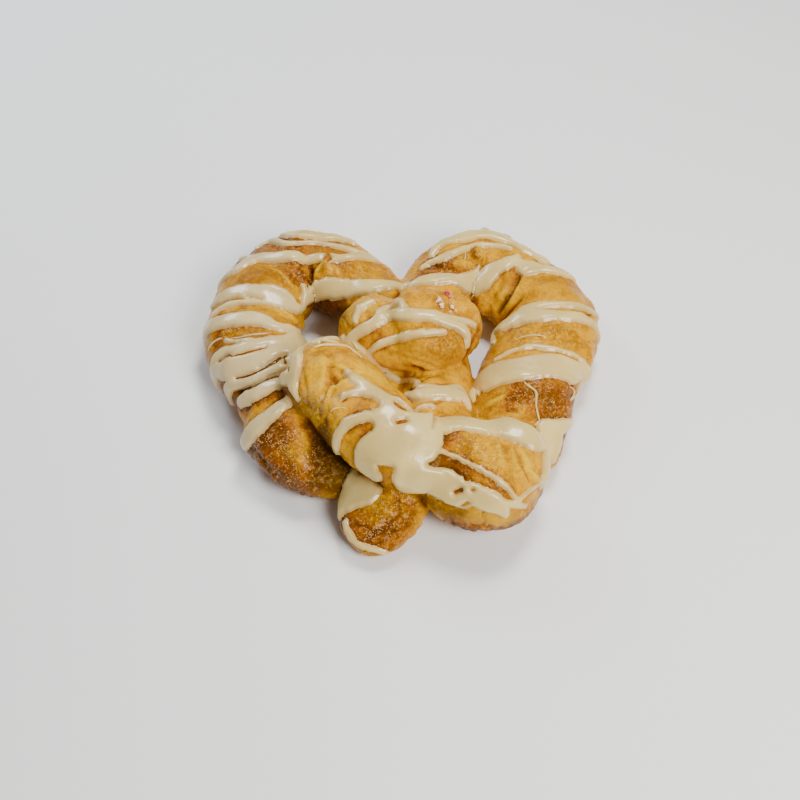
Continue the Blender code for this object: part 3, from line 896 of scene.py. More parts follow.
# %% Stripes of icing: places with half their width
STRIPES = (
    # back-left lobe, from the top down
    (("left", 50, 10, 1.8), (290, 235, 2.6), (312, 235, 2.7), (338, 239, 2.0), (354, 245, 1.2)),
    ((253, 243, 1.0), (270, 242, 1.5), (286, 243, 1.2), (313, 243, 1.2), (338, 247, 1.3),
     (358, 252, 1.4), (378, 260, 0.9)),
    (("left", 72, 2, 1.0), (227, 277, 1.8), (238, 269, 2.3), (255, 260, 2.6), (274, 257, 2.5),
     (297, 256, 2.4), (321, 258, 1.9), (338, 259, 1.9), (356, 257, 1.5), (376, 262, 0.9)),
    ((214, 306, 1.8), (224, 297, 2.4), (236, 292, 2.9), (253, 292, 3.3), (271, 295, 3.7),
     (285, 301, 3.4), (295, 308, 2.3), (303, 307, 1.5)),
    ((306, 299, 2.4), (317, 292, 3.5), (335, 289, 3.8), (354, 288, 3.7), (375, 286, 3.1),
     (392, 285, 2.1), (407, 286, 1.6)),
    ((303, 286, 0.7), (305, 293, 1.3), (309, 299, 1.8)),
    ((209, 322, 1.1), (217, 312, 1.4), (230, 305, 1.4), (246, 303, 1.1), (264, 303, 1.2), (280, 307, 1.0)),
    # left arm
    (("left", 90, -22, 1.2), (203, 336, 2.1), (210, 326, 2.8), (226, 320, 3.1), (246, 318, 3.1),
     (262, 321, 2.9), (277, 327, 2.2), (294, 332, 2.0), (312, 334, 2.2), (334, 336, 1.8)),
    ((226, 340, 0.6), (244, 341, 0.8), (262, 340, 0.8), (282, 338, 0.9)),
    (("left", 101, -10, 1.0), (213, 364, 1.4), (221, 354, 1.8), (236, 349, 1.8), (256, 345, 1.7),
     (286, 342, 1.6)),
    (("left", 103, -14, 1.8), (218, 371, 3.0), (227, 368, 4.3), (240, 363, 4.4), (254, 359, 3.9),
     (268, 354, 3.2), (284, 348, 2.4)),
    (("left", 112, -8, 1.2), (228, 389, 1.8), (235, 384, 2.1), (248, 379, 2.3), (262, 373, 2.3),
     (280, 366, 2.2)),
    ((242, 401, 2.3), (250, 396, 2.9), (262, 390, 2.7), (274, 384, 2.6), (288, 378, 2.2)),
    (("left", 133, -20, 1.8), (247, 440, 2.6), (252, 432, 3.3), (262, 422, 3.5), (274, 413, 3.3),
     (284, 406, 3.0), (289, 402, 2.4)),
    # the curtain down the end of the arm, and the sheet over its tip
    ((306, 338, 2.2), (299, 345, 3.2), (295, 356, 3.1), (293, 370, 2.9), (292, 382, 2.4),
     (294, 392, 1.6), (297, 399, 0.8)),
    ((288, 340, 2.0), (302, 336, 2.6), (318, 333, 2.2), (330, 336, 1.5)),
    # along the arm
    ((330, 338, 1.3), (343, 340, 1.4), (354, 348, 2.2), (366, 358, 2.6), (378, 367, 2.0),
     (391, 376, 1.5), (404, 380, 1.1), (417, 382, 0.8)),
    ((348, 373, 1.3), (356, 380, 2.0), (368, 390, 2.5), (380, 397, 3.0), (392, 408, 3.9)),
    ((343, 397, 0.7), (353, 393, 1.1), (364, 393, 1.5), (376, 400, 2.0)),
    ((337, 452, 1.1), (336, 442, 1.5), (341, 431, 1.6), (350, 422, 1.7), (363, 418, 1.8), (378, 418, 2.4)),
    # the pool
    ((378, 402, 2.0), (388, 420, 4.4), (384, 440, 5.4), (372, 452, 5.6), (366, 464, 4.4), (374, 475, 2.6)),
    ((396, 402, 2.2), (404, 420, 4.8), (408, 440, 6.4), (410, 458, 5.8), (408, 474, 4.2),
     (408, 487, 3.4), (424, 488, 2.6)),
    ((392, 430, 5.4), (392, 448, 5.4)),
    ((412, 420, 3.4), (428, 424, 4.6), (430, 436, 4.4), (428, 452, 3.0)),
    ((430, 484, 3.0), (418, 480, 3.6), (404, 478, 3.2)),
    ((397, 401, 0.9), (408, 408, 0.6), (418, 409, 0.6), (432, 406, 0.8)),
    ((407, 395, 1.6), (417, 395, 2.4), (428, 395, 2.7), (440, 394, 2.9), (455, 395, 2.9),
     (464, 399, 2.2), (468, 408, 1.1)),
    ((414, 386, 0.7), (430, 387, 1.0), (446, 388, 1.1), (460, 389, 1.2), (464, 394, 1.2)),
    # the front strand
    ((426, 426, 4.6), (448, 424, 4.4), (470, 424, 4.1), (486, 427, 3.9), (502, 427, 4.9),
     (520, 431, 4.7), (538, 438, 5.0), (545, 448, 4.4), (547, 461, 3.4), (545, 474, 2.2), (540, 485, 1.0)),
    ((546, 429, 3.2), (556, 428, 3.0), (566, 426, 2.2), (574, 423, 1.0)),
    ((556, 434, 3.4), (554, 446, 3.4), (551, 458, 2.4)),
    ((426, 452, 0.9), (442, 452, 0.6), (456, 457, 0.6), (470, 464, 0.6), (484, 472, 0.6),
     (498, 480, 0.62), (509, 490, 0.65), (518, 501, 0.6)),
    ((519, 501, 0.6), (528, 492, 0.5), (538, 483, 0.5), (546, 470, 0.6)),
    ((424, 476, 3.4), (436, 481, 4.6), (448, 487, 4.9), (461, 494, 4.3), (474, 495, 3.4),
     (486, 500, 3.4), (498, 506, 2.9), (505, 515, 1.2)),
    ((498, 502, 1.0), (512, 504, 1.0), (526, 507, 0.6)),
    # the tongue
    ((354, 471, 1.2), (352, 481, 2.8), (349, 491, 3.4), (346, 501, 3.0), (342, 510, 1.9), (340, 517, 0.8)),
    ((360, 482, 2.8), (366, 489, 3.2), (360, 496, 2.9), (350, 506, 2.2)),
    ((372, 488, 1.9), (376, 491, 1.6), (372, 497, 1.5), (360, 503, 1.6)),
    ((345, 522, 0.9), (350, 535, 1.2), (358, 544, 1.0), (372, 549, 0.9), (386, 552, 0.8)),
    # the lump in the middle
    ((349, 340, 1.5), (360, 331, 2.0), (374, 323, 2.2), (388, 317, 2.2), (408, 315, 2.2),
     (428, 317, 2.0), (446, 322, 1.8), (460, 328, 1.7), (467, 335, 1.5), (467, 346, 0.8)),
    ((410, 312, 0.8), (426, 312, 0.8), (446, 316, 0.8), (460, 320, 0.9), (474, 325, 0.8)),
    ((368, 354, 0.8), (376, 347, 1.1), (388, 341, 1.2), (406, 336, 1.3), (426, 333, 1.1), (444, 332, 0.8)),
    ((378, 318, 1.0), (386, 308, 1.5), (396, 303, 1.4), (404, 308, 1.2)),
    ((356, 322, 0.8), (360, 312, 1.1), (372, 302, 0.9)),
    # back-right lobe
    ((432, 256, 1.2), (440, 246, 2.2), (455, 239, 2.9), (474, 235, 3.0), (494, 236, 3.0),
     (510, 242, 2.6), (526, 251, 2.2), (545, 262, 1.8)),
    ((422, 268, 0.9), (432, 262, 1.3), (446, 257, 1.8), (460, 250, 1.4), (476, 246, 1.4),
     (494, 246, 1.4), (510, 249, 1.2)),
    ((411, 286, 1.6), (424, 281, 2.3), (438, 279, 2.7), (452, 279, 2.5), (466, 281, 3.2),
     (478, 280, 4.0), (489, 271, 3.2), (502, 265, 2.8), (513, 260, 2.3), (517, 257, 1.4)),
    ((468, 285, 3.0), (476, 285, 3.4), (484, 280, 3.4), (490, 275, 2.6)),
    ((519, 262, 1.8), (527, 269, 3.9), (540, 270, 3.2), (554, 271, 2.4), (566, 275, 1.6), (574, 280, 1.0)),
    # right arm
    ((493, 342, 0.9), (494, 334, 1.7), (505, 325, 2.7), (518, 318, 3.4), (532, 315, 3.5),
     (550, 315, 2.7), (570, 316, 2.5), (586, 320, 2.1), (596, 328, 1.4)),
    ((524, 310, 2.2), (540, 306, 1.9), (556, 305, 1.6), (572, 306, 1.3), (586, 309, 1.1), (598, 318, 0.9)),
    ((495, 360, 0.6), (508, 353, 0.7), (522, 348, 0.9), (534, 346, 1.0), (548, 348, 0.9),
     (566, 352, 0.7), (583, 361, 0.6)),
    ((471, 399, 1.8), (478, 389, 3.2), (488, 379, 4.6), (502, 372, 5.0), (520, 369, 5.0),
     (540, 366, 5.0), (560, 367, 5.0), (574, 372, 4.6), (585, 377, 3.0), ("right", 41, 0, 1.4)),
    # out of sight: stripes that go on over the back of both lobes
    (("left", 62, 60, 1.2), ("left", 62, 30, 1.6), ("left", 61, 0, 1.6), ("left", 60, -18, 0.8)),
    (("left", 40, 40, 1.2), ("left", 38, 15, 1.5), ("left", 37, -8, 1.0)),
    (("right", 106, 40, 1.6), ("right", 106, 15, 1.8), ("right", 105, -12, 1.2)),
    (("right", 92, 55, 1.0), ("right", 90, 25, 1.4), ("right", 89, 0, 1.2), ("right", 89, -18, 0.7)),
    (("right", 64, 30, 1.3), ("right", 63, 5, 1.2), ("right", 63, -18, 0.7)),
)
# Bare dough between the stripes and inside the pool: places with half its width
BARE = (
    ((355, 405, 1.6), (364, 403, 2.2), (374, 405, 1.9)),
    ((351, 436, 1.2), (359, 432, 2.0), (368, 427, 1.9)),
    ((396, 404, 1.0), (400, 407, 1.2), (405, 410, 1.1)),
    ((398, 423, 1.1), (404, 422, 1.2)),
    ((456, 492, 0.9), (461, 490, 1.0)),
    ((473, 490, 0.6),),
    ((462, 506, 0.7), (468, 503, 0.9)),
    ((220, 362, 0.30), (236, 356, 0.40), (252, 352, 0.45), (266, 348, 0.40)),
    ((236, 378, 0.45), (248, 375, 0.60), (262, 369, 0.65), (276, 362, 0.70), (286, 356, 0.75)),
    ((244, 391, 0.55), (256, 386, 0.65), (270, 378, 0.65), (284, 371, 0.60)),
    ((284, 358, 0.7), (289, 363, 1.0), (288, 370, 0.8)),
    ((252, 405, 0.8), (268, 401, 1.1), (284, 394, 1.3)),
    ((434, 411, 0.3), (434, 420, 0.35), (432, 428, 0.3)),
    ((558, 311, 0.3), (572, 311, 0.5), (590, 315, 0.4)),
    ((520, 352, 0.3), (540, 350, 0.4), (560, 353, 0.3)),
    ((247, 297, 0.3), (262, 300, 0.35)),
    ((328, 255, 1.0), (328, 261, 2.2)),
    ((477, 253, 1.7),),
)
EDGE_BLEND = 0.40
ROUND_EDGE = 1.4
THICKEST = 1.3
THINNEST = 0.4
HIDDEN = -0.6
NARROWEST_EDGE = 0.5
LEAST_TOP = 0.25
TOP_FOR_WIDTH = 0.62
TOP_UNEVEN = 0.16
DIP = 0.12
DIP_SLOPE = 0.9
RIM_PLACE = 0.5
RIM_WIDTH = 0.7
BRIDGED = 0.75
TEXTURE_SHARE = 0.8
SETTLE_SHARE = 0.9
MAKE_UP = 1.3
LOWEST_TOP = 0.05
LOWEST_SHELL = 0.02
STRIPE_MARGIN = 2.5
TURNED_AWAY = 4.0
WAVER = ((0.30, 4.2, 21), (0.18, 1.7, 22))
SETTLE_ROUNDS = 40
TOP_ROUNDS = 2
SHORT_ROUNDS = 8
SHELL_THICKNESS = 1.1

stripe_lines = [(line, width, normals_at(line)) for line, width in map(line_on_dough, STRIPES)]
bare_lines = [line_on_dough(entries) for entries in BARE]


def inside_icing(points, normals):
    """How far inside the edge of the icing each point is, and half the width of the stripe there.

    Stripes join through the logarithm of the sum of exponentials, which rounds the corner between them.
    Skin that faces away from the stripe belongs to the strand beside it and gets no icing.
    """
    total = np.full(len(points), 1e-9)
    weighted = np.zeros(len(points))
    for line, width, faced in stripe_lines:
        which, far, nearest = near_line(points, line, width.max() + STRIPE_MARGIN)
        agreed = np.sum(normals[which] * faced[nearest], axis=1)
        inner = width[nearest] - far - TURNED_AWAY * smooth_step(0.1, -0.4, agreed)
        share = np.exp(np.clip(inner, -4, 8) / EDGE_BLEND)
        total[which] += share
        weighted[which] += share * width[nearest]
    inside = EDGE_BLEND * np.log(total) + layered_noise(points, WAVER)
    for line, width in bare_lines:
        which, far, nearest = near_line(points, line, width.max() + STRIPE_MARGIN)
        inside[which] = np.minimum(inside[which], far - width[nearest])
    return inside, weighted / total


def icing_lift(points, normals):
    """Quarter-round profile: the height rises in a round curve from the edge, then stays level."""
    inside, width = inside_icing(points, normals)
    round_edge = np.clip(width, NARROWEST_EDGE, ROUND_EDGE)
    top = np.minimum(THICKEST, LEAST_TOP + TOP_FOR_WIDTH * width)
    top = top * (1 + TOP_UNEVEN * noise(points, 8, 23))
    share = np.clip(inside / round_edge, 0, 1)
    lifted = top * np.sqrt(1 - (1 - share) ** 2)
    sunk = -DIP + DIP_SLOPE * np.maximum(inside, HIDDEN)
    return np.where(inside > 0, lifted, sunk), inside


# Browner crust in a thin band outside the icing's edge: partly syrup that ran there, partly painted shade
# beneath the icing
syrup_and_shade_edge = inside_icing(points_of(dough.data), normals_of(dough.data))[0]
store(dough.data, "rim", bell((syrup_and_shade_edge + RIM_PLACE) / RIM_WIDTH))
print(len(STRIPES), "stripes and", len(BARE), "bare places")

# %% The sheet of icing
icing = one_skin("icing", ICING_VOXEL, 6)
skin = points_of(icing.data)
out = normals_of(icing.data)
lift, inside = icing_lift(skin, out)
along, angle, number = strand_places(skin)
bridged = 1 - BRIDGED * smooth_step(-0.2, 0.9, inside)
drawn = stroke_relief(skin) + edge_relief(skin)[0]
texture = fine_relief(skin, along, angle, number, patches(skin, BROWN))[0]
under = drawn * bridged + TEXTURE_SHARE * texture
surface = skin + out * under[:, None]
faces = quads_of(icing.data)
faces = faces[(inside[faces] > HIDDEN).any(axis=1)]
used, faces = np.unique(faces, return_inverse=True)
faces = faces.reshape(-1, 4)


def levelled(points, faces, weight, rounds):
    """Moves each point towards the mean of its neighbours by its weight, as thick liquid settles."""
    ends = np.concatenate([faces[:, [0, 1]], faces[:, [1, 2]], faces[:, [2, 3]], faces[:, [3, 0]]])
    ends = np.concatenate([ends, ends[:, ::-1]])
    count = np.bincount(ends[:, 0], minlength=len(points))[:, None]
    for _ in range(rounds):
        columns = [np.bincount(ends[:, 0], column[ends[:, 1]], len(points)) for column in points.T]
        mean = np.stack(columns, axis=1)
        points = points + weight[:, None] * (mean / count - points)
    return points


settle = SETTLE_SHARE * smooth_step(0.0, 1.2, inside[used])
level = levelled(surface[used], faces, settle, SETTLE_ROUNDS)
bpy.data.objects.remove(icing)
icing = new_object("icing", level, faces.tolist())
top = level + normals_of(icing.data) * lift[used][:, None]
top = levelled(top, faces, 0.5 * smooth_step(-0.3, 0.2, inside[used]), TOP_ROUNDS)
stands = np.sum((top - skin[used]) * out[used], axis=1) - (drawn + texture)[used]
short = MAKE_UP * np.maximum(THINNEST * smooth_step(0.1, 0.8, inside[used]) - stands, 0)
top += out[used] * levelled(short[:, None], faces, np.full(len(used), 0.6), SHORT_ROUNDS)
top[:, 2] = np.maximum(top[:, 2], LOWEST_TOP)
put_points(icing.data, top)
store(icing.data, "edge", inside[used])
shell = icing.modifiers.new("closed from below", "SOLIDIFY")
shell.thickness = SHELL_THICKNESS * MM
shell.offset = -1.0
mesh = with_modifiers(icing)
icing.modifiers.clear()
icing.data = mesh
closed = points_of(mesh)
closed[:, 2] = np.maximum(closed[:, 2], LOWEST_SHELL)
put_points(mesh, closed)
mesh.shade_smooth()
print("icing", len(mesh.polygons), "faces,", np.round(np.ptp(closed, axis=0), 1), "mm")

# %% [markdown]
# ## Threads of icing
#
# Where the icing ran thin it left threads less than a millimetre wide. They are finer than the sheet's
# mesh, so they are made as a round profile carried along a line on the skin, with pointed ends.

# %% Threads
THREADS = (
    ((523, 380, 0.30), (528, 386, 0.36), (535, 391, 0.40), (536, 402, 0.34), (538, 416, 0.32),
     (541, 430, 0.40)),
    ((313, 349, 0.35), (325, 346, 0.42), (340, 347, 0.40), (353, 351, 0.38), (362, 358, 0.30)),
    ((312, 340, 0.30), (326, 342, 0.34), (340, 344, 0.30)),
    ((463, 262, 0.22), (465, 254, 0.26), (463, 247, 0.24)),
    ((544, 470, 0.30), (541, 480, 0.34), (534, 487, 0.30), (524, 497, 0.30)),
    ((568, 386, 0.26), (574, 392, 0.30), (570, 400, 0.26), (578, 394, 0.26), (584, 390, 0.28)),
    ((232, 338, 0.24), (250, 336, 0.30), (272, 334, 0.30)),
    ((208, 352, 0.24), (212, 344, 0.30), (222, 338, 0.24)),
    ((518, 340, 0.18), (536, 337, 0.22), (552, 339, 0.18)),
    ((330, 412, 0.20), (342, 408, 0.26), (352, 412, 0.22)),
)
THREAD_SIDES = 10
THREAD_RISE = 0.45
THREAD_ROUND = 1.15
THREAD_ROUGH = 0.25


def thread(entries):
    """Rings of points round a line on the skin, their radius eased to nothing at both ends."""
    line, radius = line_on_dough(entries)
    steps = np.concatenate([[0.0], np.cumsum(np.linalg.norm(np.diff(line, axis=0), axis=1))])
    share = steps / steps[-1]
    ease = np.sqrt(np.clip(1 - (2 * share - 1) ** 8, 0.02, 1))
    radius = radius * ease * (1 + THREAD_ROUGH * noise(line, 1.8, 31))
    tangent = unit(np.gradient(line, axis=0))
    across = unit(np.cross(tangent, normals_at(line)))
    normal = np.cross(across, tangent)
    turn = np.linspace(0, 2 * np.pi, THREAD_SIDES, endpoint=False)
    ring = across[:, None] * np.cos(turn)[None, :, None] + normal[:, None] * np.sin(turn)[None, :, None]
    above = stroke_relief(line) + edge_relief(line)[0] + THREAD_RISE * radius
    raised = line + normal * above[:, None]
    return raised[:, None, :] + ring * (radius * THREAD_ROUND)[:, None, None]


points, faces, first = [], [], 0
for entries in THREADS:
    rings = thread(entries)
    points.append(rings.reshape(-1, 3))
    faces += tube_faces(len(rings), THREAD_SIDES, first)
    first += rings.shape[0] * THREAD_SIDES
threads = new_object("icing_threads", np.concatenate(points), faces)
threads.data.shade_smooth()
print("threads", len(threads.data.polygons), "faces")

# %% [markdown]
# ## Crumbs of sugar
#
# A few crumbs of crushed candy stuck to the lump, most of them white and some red. Each is a small ball
# with its radius changed by noise, partly sunk in the crust.

# %% Crumbs
WHITE_CRUMBS = (
    (439, 302, 1.1), (441, 306, 1.0), (452, 300, 0.5),
    (452, 308, 0.8), (455, 311, 0.6), (450, 312, 0.5),
)
RED_CRUMBS = ((447, 297, 1.2), (444, 296, 0.7), (449, 299, 0.7))
CRUMB_RINGS = 5
CRUMB_SIDES = 7
CRUMB_RISE = 0.35
CRUMB_ROUGH = 0.9


def crumbs(name, entries, seed):
    """Balls whose radius is the given one times one plus noise, closed by small flat faces at the poles."""
    turn = np.linspace(0, 2 * np.pi, CRUMB_SIDES, endpoint=False)
    rise = np.linspace(-1.45, 1.45, CRUMB_RINGS)[:, None]
    level = np.cos(rise)
    ball = np.stack([level * np.cos(turn), level * np.sin(turn), np.sin(rise) + 0 * turn], axis=-1)
    points, faces = [], []
    for index, entry in enumerate(entries):
        line, size = line_on_dough([entry])
        rough = 1 + CRUMB_ROUGH * noise(ball.reshape(-1, 3), 0.9, seed + index)
        above = stroke_relief(line)[0] + edge_relief(line)[0][0] + CRUMB_RISE * size[0]
        middle = line[0] + normals_at(line)[0] * above
        points.append(middle + ball.reshape(-1, 3) * size[0] * rough[:, None])
        faces += tube_faces(CRUMB_RINGS, CRUMB_SIDES, index * CRUMB_RINGS * CRUMB_SIDES)
    return new_object(name, np.concatenate(points), faces)


white_crumbs = crumbs("sugar_crumbs", WHITE_CRUMBS, 41)
red_crumbs = crumbs("red_crumbs", RED_CRUMBS, 61)
print("crumbs", len(WHITE_CRUMBS) + len(RED_CRUMBS))

# %% [markdown]
# ## Shader maths in plain Python
#
# A material is a small program. Wires between boxes are hard to read in a script, so one class wraps an
# output socket and gives it the operators of a number. `1 - mask` then adds the node that does it.

# %% Sockets as numbers
class Value:
    """An output socket that can be added, multiplied and so on."""

    def __init__(self, shade, socket):
        self.shade = shade
        self.socket = socket

    def _math(self, operation, first, second):
        """A node that works out one operation on two numbers."""
        return self.shade.node("ShaderNodeMath", {"operation": operation}, {0: first, 1: second})

    def __add__(self, other):
        return self._math("ADD", self, other)

    def __sub__(self, other):
        return self._math("SUBTRACT", self, other)

    def __rsub__(self, other):
        return self._math("SUBTRACT", other, self)

    def __mul__(self, other):
        return self._math("MULTIPLY", self, other)

    __radd__ = __add__
    __rmul__ = __mul__


class Shade:
    """One material's node tree, with its Principled shader."""

    def __init__(self, name):
        self.material = bpy.data.materials.new(name)
        self.material.use_nodes = True
        self.tree = self.material.node_tree
        self.shader = self.tree.nodes["Principled BSDF"]

    def node(self, kind, settings=None, sockets=None, output=0):
        """Adds a node: its settings are set first, and then its sockets get values or links."""
        made = self.tree.nodes.new(kind)
        for key, value in (settings or {}).items():
            setattr(made, key, value)
        for key, value in (sockets or {}).items():
            self.feed(made.inputs[key], value)
        return Value(self, made.outputs[output])

    def feed(self, socket, value):
        """Links a wrapped socket, or sets a plain value."""
        if isinstance(value, Value):
            self.tree.links.new(value.socket, socket)
        else:
            socket.default_value = value

    def mix(self, share, first, second):
        """A colour between two colours."""
        made = self.tree.nodes.new("ShaderNodeMix")
        made.data_type = "RGBA"
        for socket, value in ((made.inputs[0], share), (made.inputs[6], first), (made.inputs[7], second)):
            self.feed(socket, value if isinstance(value, (Value, float, int)) else (*value, 1.0))
        return Value(self, made.outputs[2])

    def attribute(self, name):
        """The number that the vertices hold under this name."""
        return self.node("ShaderNodeAttribute", {"attribute_name": name}, output=2)

    def grain(self, where, scale, detail=3.0, rough=0.6, distort=0.0):
        """Noise between 0 and 1: each finer layer adds a smaller share to the one before."""
        sockets = {"Vector": where, "Scale": scale, "Detail": detail}
        sockets.update({"Roughness": rough, "Distortion": distort})
        return self.node("ShaderNodeTexNoise", {}, sockets)

    def ramp(self, value, low, high):
        """0 at low and 1 at high, smooth between."""
        sockets = {0: value, 1: low, 2: high, 3: 0.0, 4: 1.0}
        return self.node("ShaderNodeMapRange", {"interpolation_type": "SMOOTHSTEP"}, sockets)

    def bump(self, height, distance, strength, normal=None):
        """The normal, tilted by the slope of a height that is this distance deep."""
        sockets = {"Height": height, "Distance": distance, "Strength": strength}
        if normal is not None:
            sockets["Normal"] = normal
        return self.node("ShaderNodeBump", {}, sockets)

    def set(self, **sockets):
        """Feeds the main shader's sockets, named with _ for each space."""
        for name, value in sockets.items():
            self.feed(self.shader.inputs[name.replace("_", " ")], value)


print("sockets can be added, subtracted and multiplied")


# %% [markdown]
# ## Baked crust
#
# The crust is egg-washed pastry: clear gold on its bulges, olive yellow where light passes thin layers,
# brown where sugar caught, and glossy all over from syrup. Fine streaks run along the rope, so they read
# the distances along and round it that were stored on the vertices. Sugar shows as grains in the bump,
# with painted sparkle and painted glints as bright specks in the colour. Painted shade darkens the
# creases, the band along the icing's edge and the marked hollows.

# %% Crust material
GOLD = (0.63, 0.290, 0.0)
DEEP_GOLD = (0.36, 0.140, 0.0)
AMBER = (0.27, 0.094, 0.0)
BROWNED = (0.150, 0.041, 0.001)
CAUGHT = (0.045, 0.012, 0.001)
TOFFEE = (0.37, 0.108, 0.004)
CREAM = (0.74, 0.43, 0.005)
OLIVE_GOLD = (0.76, 0.41, 0.0)
PAINTED_SHADE_BROWN = (0.060, 0.019, 0.0)
FROST = (0.62, 0.42, 0.24)
# Painted sparkle and glints: bright flecks that stand in for light caught by the sugar
PAINTED_SPARKLE = (1.0, 0.63, 0.25)
PAINTED_GLINT = (0.92, 0.50, 0.005)
PAINTED_WARM_GLINT = (0.78, 0.35, 0.12)
GLOSS_TINT = (1.0, 0.60, 0.05, 1.0)
GLOW_RADIUS = (1.0, 0.45, 0.12)
# How many cells each noise has in a metre of crust
LUMP_SCALE = 95.0
CLUMP_SCALE = 300.0
SPECK_SCALE = 620.0
MOTTLE_SCALE = 880.0
FINE_SCALE = 1500.0
GRAIN_SCALE = 2300.0
# Streaks are drawn out along the rope
STREAK_SCALE = 1.1
STREAK_STRETCH = 0.16
# The middle of every noise
MEAN = 0.5
# Where each colour starts and where it is full
GOLD_RANGE = (0.40, 0.58)
AMBER_RANGE = (0.1, 0.9)
CREAM_RANGE = (0.15, 1.0)
BROWN_RANGE = (0.20, 0.78)
TOFFEE_RANGE = (0.44, 0.60)
CAUGHT_RANGE = (0.78, 1.15)
PAINTED_SHADE_RANGE = (0.1, 0.8)
FROST_RANGE = (0.5, 0.95)
GRAIN_RANGE = (0.86, 0.98)
SUGAR_RANGE = (0.03, 0.5)
PAINTED_SPARKLE_RANGE = (0.22, 0.50)
PIT_RANGE = (0.33, 0.50)
PAINTED_GLINT_RANGE = (0.52, 0.68)
# Depth in metres and strength of lumps, streaks, specks, fine grain and sugar
BUMPS = ((0.0012, 0.5), (0.0003, 0.25), (0.0006, 0.5), (0.0003, 0.4), (0.0006, 0.8))


def crust():
    """Gold, then amber, olive, cream, brown, painted shade and frost by their shares, and sugar with
    painted glints last.
    """
    shade = Shade("baked crust")
    where = shade.node("ShaderNodeTexCoord", output=3)
    drawn_out = shade.attribute("along") * STREAK_STRETCH
    rope = shade.node("ShaderNodeCombineXYZ", {}, {0: drawn_out, 1: shade.attribute("around")})
    streaks = shade.grain(rope, STREAK_SCALE, 5.0, 0.7)
    lumps = shade.grain(where, LUMP_SCALE, 5.0, 0.65)
    fine = shade.grain(where, FINE_SCALE, 2.0, 0.7)
    speck = shade.grain(where, SPECK_SCALE, 3.0, 0.75)
    grains = {"Vector": where, "Scale": GRAIN_SCALE, "Randomness": 1.0}
    grain_far = shade.node("ShaderNodeTexVoronoi", {}, grains)
    grain_kind = shade.node("ShaderNodeTexVoronoi", {}, grains, 1)
    lumpy = lumps - MEAN
    speckled = speck - MEAN
    sugar = shade.attribute("sugar")
    lip = shade.attribute("lip")
    crease = shade.attribute("crease")
    gold = shade.mix(shade.ramp(lumps * 0.85 + streaks * 0.15, *GOLD_RANGE), DEEP_GOLD, GOLD)
    gold = shade.mix(shade.ramp(shade.attribute("amber") + lumpy * 0.8, *AMBER_RANGE), gold, AMBER)
    gold = shade.mix(shade.attribute("olive"), gold, OLIVE_GOLD)
    # Less cream and more brown in the creases is painted shade in the hollows
    pale = shade.attribute("pale") * 0.8 + lip * 0.8 + lumpy * 0.8 - crease * 0.5
    gold = shade.mix(shade.ramp(pale, *CREAM_RANGE) * 0.8, gold, CREAM)
    # The band along the icing's edge adds brown: syrup, and painted shade under the icing
    brown = shade.attribute("brown") + crease * 0.7 - lip * 0.15 + shade.attribute("rim") * 0.36
    uneven = brown + lumpy * 0.9 + (streaks - MEAN) * 0.2 + speckled * 0.4
    burnt = shade.ramp(uneven, *BROWN_RANGE)
    colour = shade.mix(burnt, gold, shade.mix(shade.ramp(speck, *TOFFEE_RANGE), BROWNED, TOFFEE))
    spots = brown + speckled * 1.6 + lumpy * 0.9
    colour = shade.mix(shade.ramp(spots, *CAUGHT_RANGE) * 0.85, colour, CAUGHT)
    # Painted shade: the marked patches turn the crust a deep brown where shade falls
    dark = shade.ramp(shade.attribute("dark") + lumpy * 0.5, *PAINTED_SHADE_RANGE)
    colour = shade.mix(dark * 0.95, colour, PAINTED_SHADE_BROWN)
    frost = shade.ramp(shade.attribute("frost") + speckled * 1.7 + lumpy * 0.9, *FROST_RANGE)
    colour = shade.mix(frost * 0.42, colour, FROST)
    clumps = shade.grain(where, CLUMP_SCALE, 2.0, 0.6)
    chosen = shade.ramp(grain_kind * 0.8 + sugar * 0.36 + (clumps - MEAN) * 1.8, *GRAIN_RANGE)
    chosen = chosen * shade.ramp(sugar, *SUGAR_RANGE)
    # Pale sugar grains, painted bright as their sparkle
    painted_sparkle = chosen * (1 - shade.ramp(grain_far, *PAINTED_SPARKLE_RANGE))
    # dusted sets the strength of both the dark pits and the painted glints
    dusted = 0.45 + sugar * 0.75
    mottle = shade.grain(where, MOTTLE_SCALE, 2.0, 0.75)
    colour = shade.mix((1 - shade.ramp(mottle, *PIT_RANGE)) * dusted * 0.5, colour, BROWNED)
    # Painted glints: bright flecks in the mottle where the sugary crust catches the light
    painted_glint = shade.mix(burnt, PAINTED_GLINT, PAINTED_WARM_GLINT)
    colour = shade.mix(shade.ramp(mottle, *PAINTED_GLINT_RANGE) * dusted * 0.46, colour, painted_glint)
    colour = shade.mix(painted_sparkle * 0.8, colour, PAINTED_SPARKLE)
    normal = None
    for height, (depth, strength) in zip((lumps, streaks, speck, fine, (1 - grain_far) * chosen), BUMPS):
        normal = shade.bump(height, depth, strength, normal)
    shade.set(Base_Color=colour, Roughness=0.26 + speck * 0.15, Normal=normal)
    shade.set(Coat_Weight=0.02 + sugar * 0.08, Coat_Roughness=0.08)
    shade.set(Specular_IOR_Level=0.26, Specular_Tint=GLOSS_TINT)
    shade.set(Subsurface_Weight=0.08, Subsurface_Scale=0.002)
    shade.shader.inputs["Subsurface Radius"].default_value = GLOW_RADIUS
    return shade.material


dough.data.materials.clear()
dough.data.materials.append(crust())
print("the crust has", len(dough.data.materials[0].node_tree.nodes), "nodes")

# %% [markdown]
# ## Maple icing
#
# The icing is sugar and maple syrup, tan and nearly opaque, with a wet gloss. It sets with faint ripples
# from pouring. Its thin edges let the crust show through a little, so they are darker. At the far left
# it is painted a colder grey, which stands in for the shade and cool light on that side.

